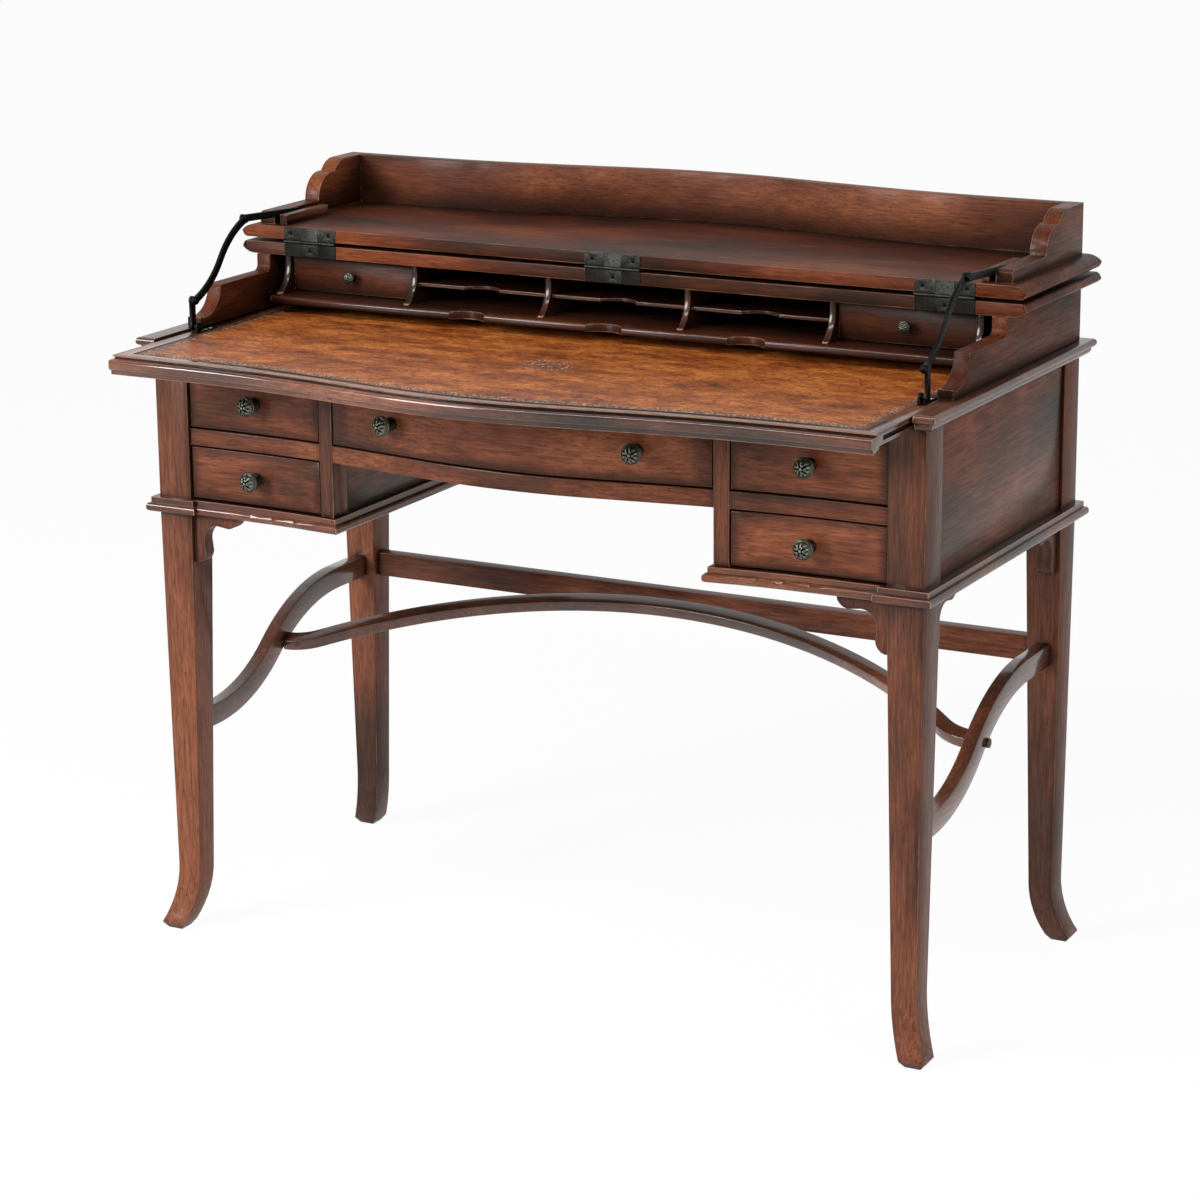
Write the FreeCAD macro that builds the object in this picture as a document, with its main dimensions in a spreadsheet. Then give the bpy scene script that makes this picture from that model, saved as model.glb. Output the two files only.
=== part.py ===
"""A fold-over writing desk with a serpentine front.

Legs and stretchers carry a carcase with five drawers. A writing slide with a leather inset runs above it,
under a small case of pigeonholes. The lid of that case folds forward on three hinges, and jointed stays
draw the slide in as it closes. X runs across the desk, +Y to its back, +Z up, and the origin lies on the
floor under the middle of the open desk.
"""
import FreeCAD
import Part
import Sketcher
import math
import os
import re

SIZES = [
    # Alias, millimetres or degrees, meaning
    ("half_width", 515, "middle to the outer face of a post"),
    ("depth", 471.5, "front to back over the posts"),
    ("swell_radius", 700, "plan radius of the serpentine's middle"),
    ("swell_angle", 9, "slope of the serpentine between its arcs"),
    ("flank_radius", 1250, "plan radius of the serpentine's hollow flanks"),
    ("flank_end", 410, "middle to where the serpentine runs level"),
    ("apron_height", 551, "floor to the underside of the pedestals"),
    ("carcase_height", 201, "pedestals' underside to the waist moulding"),
    ("fit", 0.3, "clearance between pieces that slide or turn"),
    ("post", 46, "side of a post"),
    ("leg_draw", 3.5, "how far a leg's outer face draws in at the ankle"),
    ("ankle_inside", 35.5, "outer face of the post to the ankle's inner face"),
    ("ankle_height", 85, "floor to the ankle"),
    ("foot_splay", 14, "how far a foot turns out past the post"),
    ("foot_width", 32, "width of a foot"),
    ("toe_height", 8, "height of the toe's bevel"),
    ("toe_bevel", 6, "width of the toe's bevel"),
    ("bracket_reach", 64, "length of an apron bracket"),
    ("bracket_lobe", 14, "depth of a bracket's end lobe"),
    ("bracket_cove", 20, "radius of a bracket's hollow"),
    ("bracket_board", 18, "thickness of a bracket"),
    ("bracket_inset", 6, "bracket's face behind the post's face"),
    ("stretcher_board", 18, "thickness of a side stretcher"),
    ("stretcher_inset", 12, "side stretcher's face behind the post's face"),
    ("stretcher_height", 28, "height of a side stretcher's section"),
    ("stretcher_low", 258, "floor to a side stretcher's front end"),
    ("stretcher_rise", 110, "rise of a side stretcher to the back"),
    ("stretcher_front_flat", 24, "level run at the front leg"),
    ("stretcher_back_flat", 66, "level run at the back leg"),
    ("back_stretcher_height", 32, "height of the back stretcher's section"),
    ("back_stretcher_board", 20, "thickness of the back stretcher"),
    ("hoop_shift", 12.5, "hoop's ends behind the side stretchers' middle"),
    ("hoop_height", 334, "floor to the top of the hoop's ends"),
    ("hoop_tilt", 21.8, "slope of the hoop's plane"),
    ("hoop_rise", 172, "depth of the hoop in its plane"),
    ("hoop_end_radius", 72, "radius of the hoop's turned ends"),
    ("hoop_width", 20, "width of the hoop's section"),
    ("hoop_board", 15, "thickness of the hoop"),
    ("peg_radius", 6, "radius of a stretcher peg's head"),
    ("peg_stand", 4, "height of a stretcher peg's head"),
    ("frame_reveal", 3, "drawer frame behind the posts' front"),
    ("front_reveal", 1, "drawer fronts behind the drawer frame"),
    ("panel_reveal", 4, "side panels behind the posts' faces"),
    ("side_board", 17, "thickness of a side panel"),
    ("pedestal_width", 259, "outer face of a post to the kneehole"),
    ("kneehole_board", 14, "thickness of a kneehole panel"),
    ("stile_width", 19, "width of a front stile"),
    ("rail_depth", 22, "front to back of the stiles and rails"),
    ("rail_height", 21, "height of a drawer rail"),
    ("top_rail_height", 15, "height of the top rail"),
    ("lower_opening", 69, "height of a lower drawer's opening"),
    ("base_lip", 10, "base moulding past the drawer frame"),
    ("post_lip", 13, "base moulding past a post"),
    ("base_roll", 11, "height of the base moulding's roll"),
    ("base_roll_round", 4.5, "rounding of the base moulding's roll"),
    ("base_step", 5, "set-back of the fillet above the roll"),
    ("base_fillet", 7, "height of the fillet above the roll"),
    ("back_board", 10, "thickness of the back panel"),
    ("back_reveal", 4, "back panel behind the posts' back"),
    ("runner_height", 8, "height of a drawer runner"),
    ("runner_width", 20, "width of a drawer runner"),
    ("dust_board", 4, "thickness of the dust board"),
    ("waist_thickness", 19, "height of the waist moulding"),
    ("waist_lip", 16, "waist moulding past a post"),
    ("waist_roll", 10, "height of the waist moulding's roll"),
    ("waist_round", 4.5, "rounding of the waist moulding's roll"),
    ("waist_set", 0.5, "band under the roll behind the roll's rounding"),
    ("waist_under", 7, "rounding of the band under the roll"),
    ("slide_inset", 15, "outer face of a post to the slide's edge"),
    ("slide_reach", 107, "slide's front corners before the posts' front"),
    ("slide_travel", 93, "how far the slide runs in as the lid closes"),
    ("slide_thickness", 15.5, "thickness of the writing slide"),
    ("slide_back_gap", 131.5, "slide's back edge to the posts' back"),
    ("slide_clear", 0.5, "slide above the waist's underside"),
    ("slide_gap", 4, "slide's edge to the waist moulding"),
    ("slide_lip", 2, "thickness of the slide's upper edge"),
    ("slide_bead", 5.5, "height of the bead under the slide's nosing"),
    ("slide_setback", 1, "bead behind the nosing's rounding"),
    ("nosing_height", 13, "height of the slide's nosing"),
    ("nosing_reach", 9.5, "nosing before the slide's upper edge"),
    ("nosing_round", 4, "rounding of the slide's nosing"),
    ("nosing_depth", 10, "nosing's back behind the slide's upper edge"),
    ("quirk_height", 2.5, "height of the quirk above the nosing"),
    ("quirk_depth", 4, "depth of the quirk behind the slide's upper edge"),
    ("groove_height", 6, "height of the slide's side grooves"),
    ("groove_depth", 5, "depth of the slide's side grooves"),
    ("groove_low", 4, "slide's underside to its grooves"),
    ("leather_thickness", 1.6, "thickness of the leather"),
    ("leather_sunk", 0.4, "leather below the slide's top"),
    ("leather_side", 18, "wood border beside the leather"),
    ("leather_front", 14, "wood border before the leather"),
    ("leather_back", 20, "wood border behind the leather"),
    ("case_height", 67, "height of the upper case's sides"),
    ("case_board", 20, "thickness of the upper case's sides"),
    ("case_front", 74, "posts' front to the case sides' front"),
    ("case_toe", 12, "height of the case sides' front edge"),
    ("case_rail", 46, "height of the case sides' low rail"),
    ("case_cove", 37, "radius of the cove at the case sides' front"),
    ("case_cove_run", 47, "length of the cove at the case sides' front"),
    ("case_step", 8, "radius of the case sides' step under the top"),
    ("case_back_board", 12, "thickness of the case's back"),
    ("top_lip", 22, "tops past a post's outer face"),
    ("top_thickness", 16, "thickness of the fixed top and of the lid"),
    ("top_gap", 5, "gap between the fixed top and the open lid"),
    ("lid_overhang", 8.5, "tops past the posts' back"),
    ("nose_height", 7.5, "fixed top's underside to its nose"),
    ("nose_under", 18, "how far the edge draws in below the nose"),
    ("nose_over", 6, "how far the edge draws in above the nose"),
    ("lid_reach", 10, "closed lid past the posts' front"),
    ("edge_gap", 1, "tops' front edges behind the hinge pins"),
    ("hinge_length", 76, "length of a hinge"),
    ("hinge_inset", 80, "outer face of a post to an outer hinge's middle"),
    ("leaf_thickness", 2, "thickness of a hinge leaf"),
    ("knuckle_radius", 2.2, "radius of a hinge knuckle"),
    ("pin_radius", 1.2, "radius of a hinge pin"),
    ("pin_play", 0.05, "clearance of a pin in its hole"),
    ("screw_radius", 2.4, "radius of a hinge screw's head"),
    ("screw_length", 9, "length of a hinge screw"),
    ("screw_spacing", 28, "distance between a leaf's screws"),
    ("gallery_board", 21, "thickness of the gallery's sides"),
    ("gallery_back_board", 16, "thickness of the gallery's back"),
    ("gallery_height", 63, "height of the gallery"),
    ("gallery_rail", 16, "height of the gallery sides' low rail"),
    ("gallery_setback", 11, "gallery sides behind the hinge pins"),
    ("gallery_lobes", 119.5, "lower lobe to the posts' back"),
    ("gallery_lobe", 33, "radius of the lower lobe"),
    ("gallery_ledge", 7, "ledge between the two lobes"),
    ("gallery_crown", 28, "length of the upper lobe"),
    ("strip_width", 10, "width of a stay strip"),
    ("strip_height", 13, "height of a stay strip"),
    ("strip_length", 100, "length of a stay strip"),
    ("strip_slot", 8, "slot between a stay strip and the gallery's side"),
    ("stay_board", 3.5, "thickness of the stays"),
    ("stay_gap", 0.5, "side gap between stay pieces"),
    ("stay_width", 9, "width of the stays"),
    ("stay_eye", 5.5, "radius of a stay's eyes"),
    ("stay_pin", 2.5, "radius of a stay's pins"),
    ("stay_pin_head", 4.2, "radius of a stay pin's head"),
    ("stay_reach", 182, "stay links before the hinge pins"),
    ("stay_lift", 8, "slide's top to the links' lower pins"),
    ("link_length", 32.5, "length of a stay link between pins"),
    ("bar_run", 118, "stay bar's run to the back between pins"),
    ("bar_rise", 85, "stay bar's rise between pins"),
    ("bar_curl", 18, "turn of the stay bar's ends from its chord"),
    ("arm_drop", 8, "fall of the lid arm from its eye to its tail"),
    ("arm_tail", 54, "length of the lid arm in its slot"),
    ("plate_length", 44, "length of a stay plate"),
    ("plate_thickness", 1.6, "thickness of a stay plate"),
    ("unit_gap", 15, "pigeonholes to the case's sides"),
    ("unit_reach", 25, "pigeonholes' nosing before the hinge pins"),
    ("unit_lift", 9, "waist's top to the pigeonholes' base"),
    ("unit_base", 10, "thickness of the pigeonholes' base"),
    ("unit_nosing", 4, "rounding of the base's nosing"),
    ("divider_board", 8, "thickness of a divider"),
    ("small_opening", 180, "width of a small drawer's opening"),
    ("divider_lean", 11, "divider's foot before the hinge pins, and head behind them"),
    ("divider_hollow", 44, "radius of a divider's hollow front"),
    ("shelf_board", 4, "thickness of a shelf"),
    ("shelf_lift", 21, "pigeonholes' base to a shelf"),
    ("shelf_setback", 15, "shelves behind the hinge pins"),
    ("notch_radius", 30, "radius of a finger notch"),
    ("notch_depth", 14, "depth of a finger notch"),
    ("drawer_gap", 2, "gap around a drawer front"),
    ("drawer_front", 20, "thickness of a drawer front"),
    ("tray_clear", 42.5, "drawer's tray to the back panel"),
    ("tray_wall", 9, "thickness of a tray's walls"),
    ("tray_floor", 6, "thickness of a tray's floor"),
    ("tray_drop", 10, "tray's rim below its front's top"),
    ("tray_side_gap", 3, "gap beside a drawer's tray"),
    ("knob_plate", 11, "radius of a knob's back plate"),
    ("knob_neck", 5, "radius of a knob's neck"),
    ("knob_head", 12.5, "radius of a knob's head"),
    ("knob_length", 28, "stand of a knob"),
    ("knob_spread", 164, "middle to a knob of the centre drawer"),
    ("small_setback", 17, "small drawers behind the hinge pins"),
    ("small_front", 9, "thickness of a small drawer's front"),
    ("small_clear", 16.5, "small tray to the case's back"),
    ("small_wall", 5, "thickness of a small tray's walls"),
    ("small_knob", 7.5, "radius of a small knob's head"),
    ("small_knob_length", 17, "stand of a small knob"),
]
FOLLOWING = {
    # Sizes that follow from the ones above
    "waist_height": "apron_height + carcase_height",
    "kneehole": "half_width - pedestal_width",
    "slide_half": "half_width - slide_inset",
    "slide_length": "slide_reach + depth - slide_back_gap",
    "top_half": "half_width + top_lip",
    "hinge_place": "(depth + lid_overhang - lid_reach) / 2",
    "hinge_spacing": "half_width - hinge_inset",
    "gallery_start": "hinge_place + gallery_setback",
    "gallery_lobe_start": "depth - gallery_lobes",
    "stay_place": "hinge_place - stay_reach",
    "unit_half": "half_width - case_board - unit_gap",
    "unit_front": "hinge_place - unit_reach",
    "divider_outer": "unit_half - 1.5 * divider_board - small_opening",
    "divider_inner": "divider_outer / 3",
    "divider_foot": "hinge_place - divider_lean",
    "divider_head": "hinge_place + divider_lean",
    "shelf_front": "hinge_place + shelf_setback",
    "small_drawer_place": "hinge_place + small_setback",
    "tray_length": "depth - frame_reveal - drawer_front - back_reveal - back_board - tray_clear",
    "small_tray_length": "depth - back_reveal / 2 - case_back_board - small_drawer_place - small_front"
                         " - small_clear",
}
ALIASES = {alias for alias, value, meaning in SIZES}
WORD = re.compile(r"[a-z]\w*")
SIDES = {"left": -1, "right": 1}

doc = FreeCAD.newDocument("writing_desk")
sheet = doc.addObject("Spreadsheet::Sheet", "Sheet")
for row, (alias, value, meaning) in enumerate(SIZES, 1):
    sheet.set("A%d" % row, meaning)
    sheet.set("B%d" % row, str(value))
    sheet.setAlias("B%d" % row, alias)
doc.recompute()
subparts = []


def bound(formula):
    """The formula with each size written as its cell of the sheet."""
    def cell(word):
        if word[0] in FOLLOWING:
            return "(%s)" % bound(FOLLOWING[word[0]])
        return "Sheet." + word[0] if word[0] in ALIASES else word[0]

    return WORD.sub(cell, str(formula))


def number(formula):
    """What the formula comes to at the sheet's sizes."""
    return float(sheet.evalExpression(bound(formula)))


def bind(thing, **formulas):
    """Ties properties of an object to formulas on the sheet."""
    for name, formula in formulas.items():
        thing.setExpression(name, bound(formula))
    return thing


def place(thing, x="0", y="0", z="0", yaw="0", pitch="0", roll="0"):
    """Ties an object's place and turn to the sheet."""
    return bind(thing, Placement=f"placement(vector({x}; {y}; {z}); rotation({yaw}; {pitch}; {roll}))")


# The serpentine edge: an arc in the middle, straight slopes beside it, and hollow arcs that end level
SWELL_RUN = "(swell_radius * sin(swell_angle))"
SLOPE_END = "(flank_end - flank_radius * sin(swell_angle))"
FLANK_RISE = "(flank_radius * (1 - cos(swell_angle)))"
SLOPE_RISE = f"(({SLOPE_END} - {SWELL_RUN}) * tan(swell_angle))"
SWELL = f"({FLANK_RISE} + {SLOPE_RISE} + swell_radius * (1 - cos(swell_angle)))"


def swell(x):
    """How far the serpentine stands out at x from its level ends."""
    away = abs(number(x))
    if away >= number("flank_end"):
        return "0"
    if away > number(SLOPE_END):
        return f"(flank_radius - sqrt(flank_radius^2 - (flank_end - abs({x}))^2))"
    if away > number(SWELL_RUN):
        return f"({FLANK_RISE} + ({SLOPE_END} - abs({x})) * tan(swell_angle))"
    return f"({SWELL} - swell_radius + sqrt(swell_radius^2 - ({x})^2))"


def lean(x):
    """How far the serpentine's face turns from the front at x."""
    away = abs(number(x))
    side = math.copysign(1, number(x))
    if away >= number("flank_end"):
        return "0"
    if away > number(SLOPE_END):
        return f"({side} * asin((flank_end - abs({x})) / flank_radius))"
    if away > number(SWELL_RUN):
        return f"({side} * swell_angle)"
    return f"asin({x} / swell_radius)"


def serpentine(first, last, edge, turn=1):
    """The corners of a serpentine edge from one x to another, with edge giving y at an x."""
    middles = ("flank_end", SLOPE_END, SWELL_RUN)
    stations = [f"(0 - {x})" for x in middles] + list(reversed(middles))
    if number(first) > number(last):
        stations.reverse()
    reach = sorted((number(first), number(last)))
    passed = [x for x in stations if reach[0] < number(x) < reach[1]]
    corners = []
    for here, there in zip([first, *passed], [*passed, last]):
        away = abs(number(here) + number(there)) / 2
        arc = ()
        if away < number(SWELL_RUN):
            arc = ("swell_radius", turn)
        elif number(SLOPE_END) < away < number("flank_end"):
            arc = ("flank_radius", -turn)
        corners.append((here, edge(here), *arc))
    return [*corners, (last, edge(last))]


# Levels and places that follow from the sizes
FRONT = "((slide_reach + nosing_reach - depth - lid_overhang) / 2)"
BACK = f"({FRONT} + depth)"
POST_INSIDE = "(half_width - post)"
BASE_TOP = "(apron_height + base_roll + base_fillet)"
RAIL_LOW = f"({BASE_TOP} + lower_opening)"
RAIL_TOP = f"({RAIL_LOW} + rail_height)"
TOP_RAIL_LOW = "(waist_height - top_rail_height)"
BOARD_TOP = "(waist_height - dust_board)"
FRAME_BACK = f"({FRONT} + frame_reveal + rail_depth)"
BACK_PANEL = f"({BACK} - back_reveal - back_board)"
WAIST_TOP = "(waist_height + waist_thickness)"
SLIDE_LOW = "(waist_height + slide_clear)"
SLIDE_TOP = f"({SLIDE_LOW} + slide_thickness)"
TOP_LOW = f"({WAIST_TOP} + case_height)"
TOP_FACE = f"({TOP_LOW} + top_thickness)"
LID_LOW = f"({TOP_FACE} + top_gap)"
LID_FACE = f"({LID_LOW} + top_thickness)"
AXIS_Y = f"({FRONT} + hinge_place)"
AXIS_Z = f"({TOP_FACE} + top_gap / 2)"
EDGE_Y = f"({AXIS_Y} + edge_gap)"
UNIT_LOW = f"({WAIST_TOP} + unit_lift)"
UNIT_TOP = f"({UNIT_LOW} + unit_base)"
UNIT_BACK = f"({BACK} - back_reveal / 2 - case_back_board)"
GALLERY_INSIDE = "(half_width - gallery_board)"
LINK_Z = f"({SLIDE_TOP} + stay_lift)"
BAR_Z = f"({LINK_Z} + link_length)"
STAY_Y = f"({FRONT} + stay_place)"


def from_front(distance):
    """A place behind the posts' front."""
    return f"({FRONT} + {distance})"


def frame_bow(x, back="0"):
    """The drawer frame's serpentine front at x, or a line behind it."""
    return f"({FRONT} + frame_reveal + {back} - {swell(x)})"


def slide_bow(x, back="0"):
    """The writing slide's serpentine front at x, or a line behind it."""
    return f"({FRONT} - slide_reach + {back} - {swell(x)})"


def leg_inside(z):
    """How far a leg's inner face lies from the post's outer face at a height."""
    return f"(post - (post - ankle_inside) * (apron_height - ({z})) / (apron_height - ankle_height))"


def span(sign, near, far):
    """The low and high x of a piece that lies near to far from the middle, on one side."""
    return (near, far) if sign > 0 else (f"(-({far}))", f"(-({near}))")


# Ways to make a solid
def extent(ends):
    """The distance between two ends."""
    return f"({ends[1]}) - ({ends[0]})"


def block(x, y, z):
    """A box between two x, two y and two z."""
    box = doc.addObject("Part::Box", "block")
    bind(box, Length=extent(x), Width=extent(y), Height=extent(z))
    return place(box, x[0], y[0], z[0])


def rod(radius, x, y, z):
    """A cylinder along X between two x."""
    cylinder = doc.addObject("Part::Cylinder", "rod")
    bind(cylinder, Radius=radius, Height=extent(x))
    return place(cylinder, x[0], y, z, pitch="90")


def post_hole(radius, x, y, z):
    """A cylinder along Z between two z."""
    cylinder = doc.addObject("Part::Cylinder", "hole")
    bind(cylinder, Radius=radius, Height=extent(z))
    return place(cylinder, x, y, z[0])


def joined(*pieces):
    """One solid of several that meet."""
    fusion = doc.addObject("Part::MultiFuse", "joined")
    fusion.Shapes = list(pieces)
    fusion.Refine = True
    return fusion


def cut(base, *tools):
    """A solid with others taken out of it."""
    for tool in tools:
        result = doc.addObject("Part::Cut", "cut")
        result.Base = base
        result.Tool = tool
        base = result
    return base


def crossed(one, other):
    """What two solids share."""
    common = doc.addObject("Part::Common", "crossed")
    common.Base = one
    common.Tool = other
    return common


def draw(body, plane, outline, offset):
    """A sketch of an outline on one of the body's planes.

    Each corner of the outline is (u, v), or (u, v, radius, turn) where the next stretch is an arc that
    turns left (1) or right (-1). Every corner and radius is a constraint tied to the sheet.
    """
    sketch = body.newObject("Sketcher::SketchObject", "outline")
    support = next(item for item in body.Origin.OriginFeatures if item.Role == plane + "_Plane")
    sketch.AttachmentSupport = [(support, "")]
    sketch.MapMode = "FlatFace"
    sketch.setExpression("AttachmentOffset.Base.z", bound(offset))
    corners = [FreeCAD.Vector(number(corner[0]), number(corner[1]), 0) for corner in outline]
    starts = []
    ends = []
    for index, corner in enumerate(outline):
        tail = corners[index]
        head = corners[(index + 1) % len(corners)]
        if len(corner) == 2:
            sketch.addGeometry(Part.LineSegment(tail, head), False)
            starts.append(1)
            ends.append(2)
            continue
        radius = number(corner[2])
        turn = corner[3]
        chord = head - tail
        reach = math.sqrt(max(radius ** 2 - chord.Length ** 2 / 4, 0)) * turn / chord.Length
        centre = (tail + head) / 2 + FreeCAD.Vector(-chord.y, chord.x, 0) * reach
        first, last = (tail, head) if turn > 0 else (head, tail)
        angles = [math.atan2(end.y - centre.y, end.x - centre.x) for end in (first, last)]
        if angles[1] < angles[0]:
            angles[1] += 2 * math.pi
        circle = Part.Circle(centre, FreeCAD.Vector(0, 0, 1), radius)
        sketch.addGeometry(Part.ArcOfCircle(circle, *angles), False)
        starts.append(1 if turn > 0 else 2)
        ends.append(2 if turn > 0 else 1)
    for index, corner in enumerate(outline):
        following = (index + 1) % len(outline)
        meeting = (index, ends[index], following, starts[following])
        sketch.addConstraint(Sketcher.Constraint("Coincident", *meeting))
        for kind, formula in zip(("DistanceX", "DistanceY"), corner):
            rule = Sketcher.Constraint(kind, -1, 1, index, starts[index], number(formula))
            sketch.setExpression("Constraints[%d]" % sketch.addConstraint(rule), bound(formula))
        if len(corner) > 2:
            rule = Sketcher.Constraint("Radius", index, number(corner[2]))
            sketch.setExpression("Constraints[%d]" % sketch.addConstraint(rule), bound(corner[2]))
    return sketch


def pad(body, plane, outline, low, high):
    """Adds an outline's prism to a body, from low to high across the plane."""
    away = plane == "XZ"
    sketch = draw(body, plane, outline, f"-({high})" if away else low)
    feature = body.newObject("PartDesign::Pad", "pad")
    feature.Profile = sketch
    bind(feature, Length=extent((low, high)))
    sketch.Visibility = False
    return feature


def prism(plane, outline, low, high):
    """A body of one outline's prism."""
    body = doc.addObject("PartDesign::Body", "prism")
    pad(body, plane, outline, low, high)
    return body


def rounded(body, radius, picked):
    """Rounds the edges of a body that a test picks."""
    doc.recompute()
    base = body.Tip
    names = ["Edge%d" % (i + 1) for i, edge in enumerate(base.Shape.Edges) if picked(edge)]
    feature = body.newObject("PartDesign::Fillet", "round")
    feature.Base = (base, names)
    bind(feature, Radius=radius)
    return body


def level(edge, *heights):
    """Whether an edge lies level at one of the heights."""
    box = edge.BoundBox
    return any(abs(box.ZMin - number(z)) < 0.01 and abs(box.ZMax - number(z)) < 0.01 for z in heights)


def turned(outline):
    """A body turned about Z from an outline of radius and height."""
    body = doc.addObject("PartDesign::Body", "turning")
    sketch = draw(body, "XZ", outline, "0")
    feature = body.newObject("PartDesign::Revolution", "turn")
    feature.Profile = sketch
    feature.ReferenceAxis = (sketch, ["V_Axis"])
    feature.Angle = 360
    sketch.Visibility = False
    return body


def keep(label, *pieces):
    """Makes a sub-part of one piece, or of a group of separate pieces."""
    if len(pieces) == 1:
        result = pieces[0]
    else:
        result = doc.addObject("Part::Compound", label)
        result.Links = list(pieces)
    result.Label = label
    subparts.append(result)


# Under frame
def leg_outline(start, sign):
    """A leg's outline from its post's outer face inwards, with the foot's turn-out."""
    drop = "(ankle_height - toe_height)"

    def sweep(run):
        return f"(({drop}^2 + ({run})^2) / (2 * ({run})))"

    def across(distance):
        return f"({start} + {sign} * ({distance}))"

    inner = "(foot_width - foot_splay)"
    return [
        (across("0"), "waist_height"),
        (across("0"), "apron_height"),
        (across("leg_draw"), "ankle_height", sweep("leg_draw + foot_splay"), -sign),
        (across("-foot_splay"), "toe_height"),
        (across("toe_bevel - foot_splay"), "0"),
        (across(f"{inner} - toe_bevel"), "0"),
        (across(inner), "toe_height", sweep(f"ankle_inside - {inner}"), sign),
        (across("ankle_inside"), "ankle_height"),
        (across("post"), "apron_height"),
        (across("post"), "waist_height"),
    ]


def make_legs():
    reach = ("-(foot_splay + post)", "(foot_splay + post)")
    legs = []
    for start, sign in ((FRONT, 1), (BACK, -1)):
        for side in SIDES.values():
            edge = f"({side} * half_width)"
            across = [f"{start} + {far}" for far in reach]
            along = [f"{edge} + {far}" for far in reach]
            front_view = prism("XZ", leg_outline(edge, -side), *across)
            side_view = prism("YZ", leg_outline(start, sign), *along)
            legs.append(crossed(front_view, side_view))
    keep("legs", *legs)


def bracket_outline(start, sign):
    """A bracket's outline under the pedestal, from the leg outwards."""
    def corner(along, down, *arc):
        return (f"({start} + {sign} * ({along}))", f"(apron_height - ({down}))", *arc)

    tip = "(bracket_reach - bracket_lobe)"
    bend = "(bracket_lobe + 2)"
    cove = "(bracket_lobe + bracket_cove)"
    return [
        corner("0", "0"),
        corner("0", "bracket_reach"),
        corner("4", "bracket_reach", bend, sign),
        corner("bracket_lobe + 2", tip),
        corner("bracket_lobe", cove, "bracket_cove", -sign),
        corner(cove, "bracket_lobe"),
        corner(tip, "bracket_lobe + 2", bend, sign),
        corner("bracket_reach", "4"),
        corner("bracket_reach", "0"),
    ]


def make_brackets():
    face = from_front("bracket_inset")
    brackets = []
    for side in SIDES.values():
        start = f"({side} * {POST_INSIDE})"
        brackets.append(prism("XZ", bracket_outline(start, -side), face, f"{face} + bracket_board"))
        board = span(side, "half_width - bracket_inset - bracket_board", "half_width - bracket_inset")
        brackets.append(prism("YZ", bracket_outline(from_front("post"), 1), *board))
        brackets.append(prism("YZ", bracket_outline(f"({BACK} - post)", -1), *board))
    keep("apron_brackets", *brackets)


STRETCHER_HIGH = "(stretcher_low + stretcher_rise)"
STRETCHER_ENDS = (from_front(leg_inside("stretcher_low + stretcher_height")),
                  f"({BACK} - {leg_inside(STRETCHER_HIGH + ' + stretcher_height')})")
STRETCHER_TURNS = (
    f"({STRETCHER_ENDS[0]} + stretcher_front_flat)",
    f"({STRETCHER_ENDS[1]} - stretcher_back_flat)",
)
HOOP_Y = f"(({STRETCHER_TURNS[0]} + {STRETCHER_TURNS[1]}) / 2 + hoop_shift)"


def stretcher_outline():
    """A side stretcher's S, of two equal arcs between level runs."""
    high = STRETCHER_HIGH
    front, back = STRETCHER_ENDS
    turn_in, turn_out = STRETCHER_TURNS
    run = f"({turn_out} - {turn_in})"
    square = f"({run}^2 + stretcher_rise^2)"
    radius = f"({square} / (4 * stretcher_rise))"
    shift = f"(stretcher_height * 2 * {run} * stretcher_rise / {square})"
    lift = f"(stretcher_height * ({run}^2 - stretcher_rise^2) / {square})"
    middle = (f"(({turn_in} + {turn_out}) / 2)", "(stretcher_low + stretcher_rise / 2)")
    return [
        (front, "stretcher_low"),
        (turn_in, "stretcher_low", radius, 1),
        (*middle, radius, -1),
        (turn_out, high),
        (back, high),
        (back, f"{high} + stretcher_height"),
        (turn_out, f"{high} + stretcher_height", f"({radius} + stretcher_height)", 1),
        (f"{middle[0]} - {shift}", f"{middle[1]} + {lift}", f"({radius} - stretcher_height)", -1),
        (turn_in, "stretcher_low + stretcher_height"),
        (front, "stretcher_low + stretcher_height"),
    ]


def hoop_outline():
    """The hoop in its own plane: a long arc whose ends turn square to the side stretchers."""
    half = "(half_width - stretcher_inset - stretcher_board)"
    total = f"(({half}^2 + hoop_rise^2) / (2 * hoop_rise))"
    long_arc = f"({total} - hoop_end_radius)"

    def edge(offset):
        """Where the long arc meets an end arc, and their radii, on a line beside the middle."""
        outer = f"({long_arc} + {offset})"
        meet_rise = f"(hoop_rise - {long_arc} + ({total} - hoop_rise) * {outer} / {total})"
        meet = (f"({half} * {outer} / {total})", meet_rise)
        return meet, outer, f"(hoop_end_radius - {offset})"

    side = "hoop_width / 2"
    back, back_long, back_end = edge(f"({side})")
    front, front_long, front_end = edge(f"(-{side})")
    return [
        (f"-{half}", f"-{side}", front_end, 1),
        (f"-{front[0]}", front[1], front_long, -1),
        (front[0], front[1], front_end, 1),
        (half, f"-{side}"),
        (half, side, back_end, -1),
        (back[0], back[1], back_long, 1),
        (f"-{back[0]}", back[1], back_end, -1),
        (f"-{half}", side),
    ]


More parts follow.
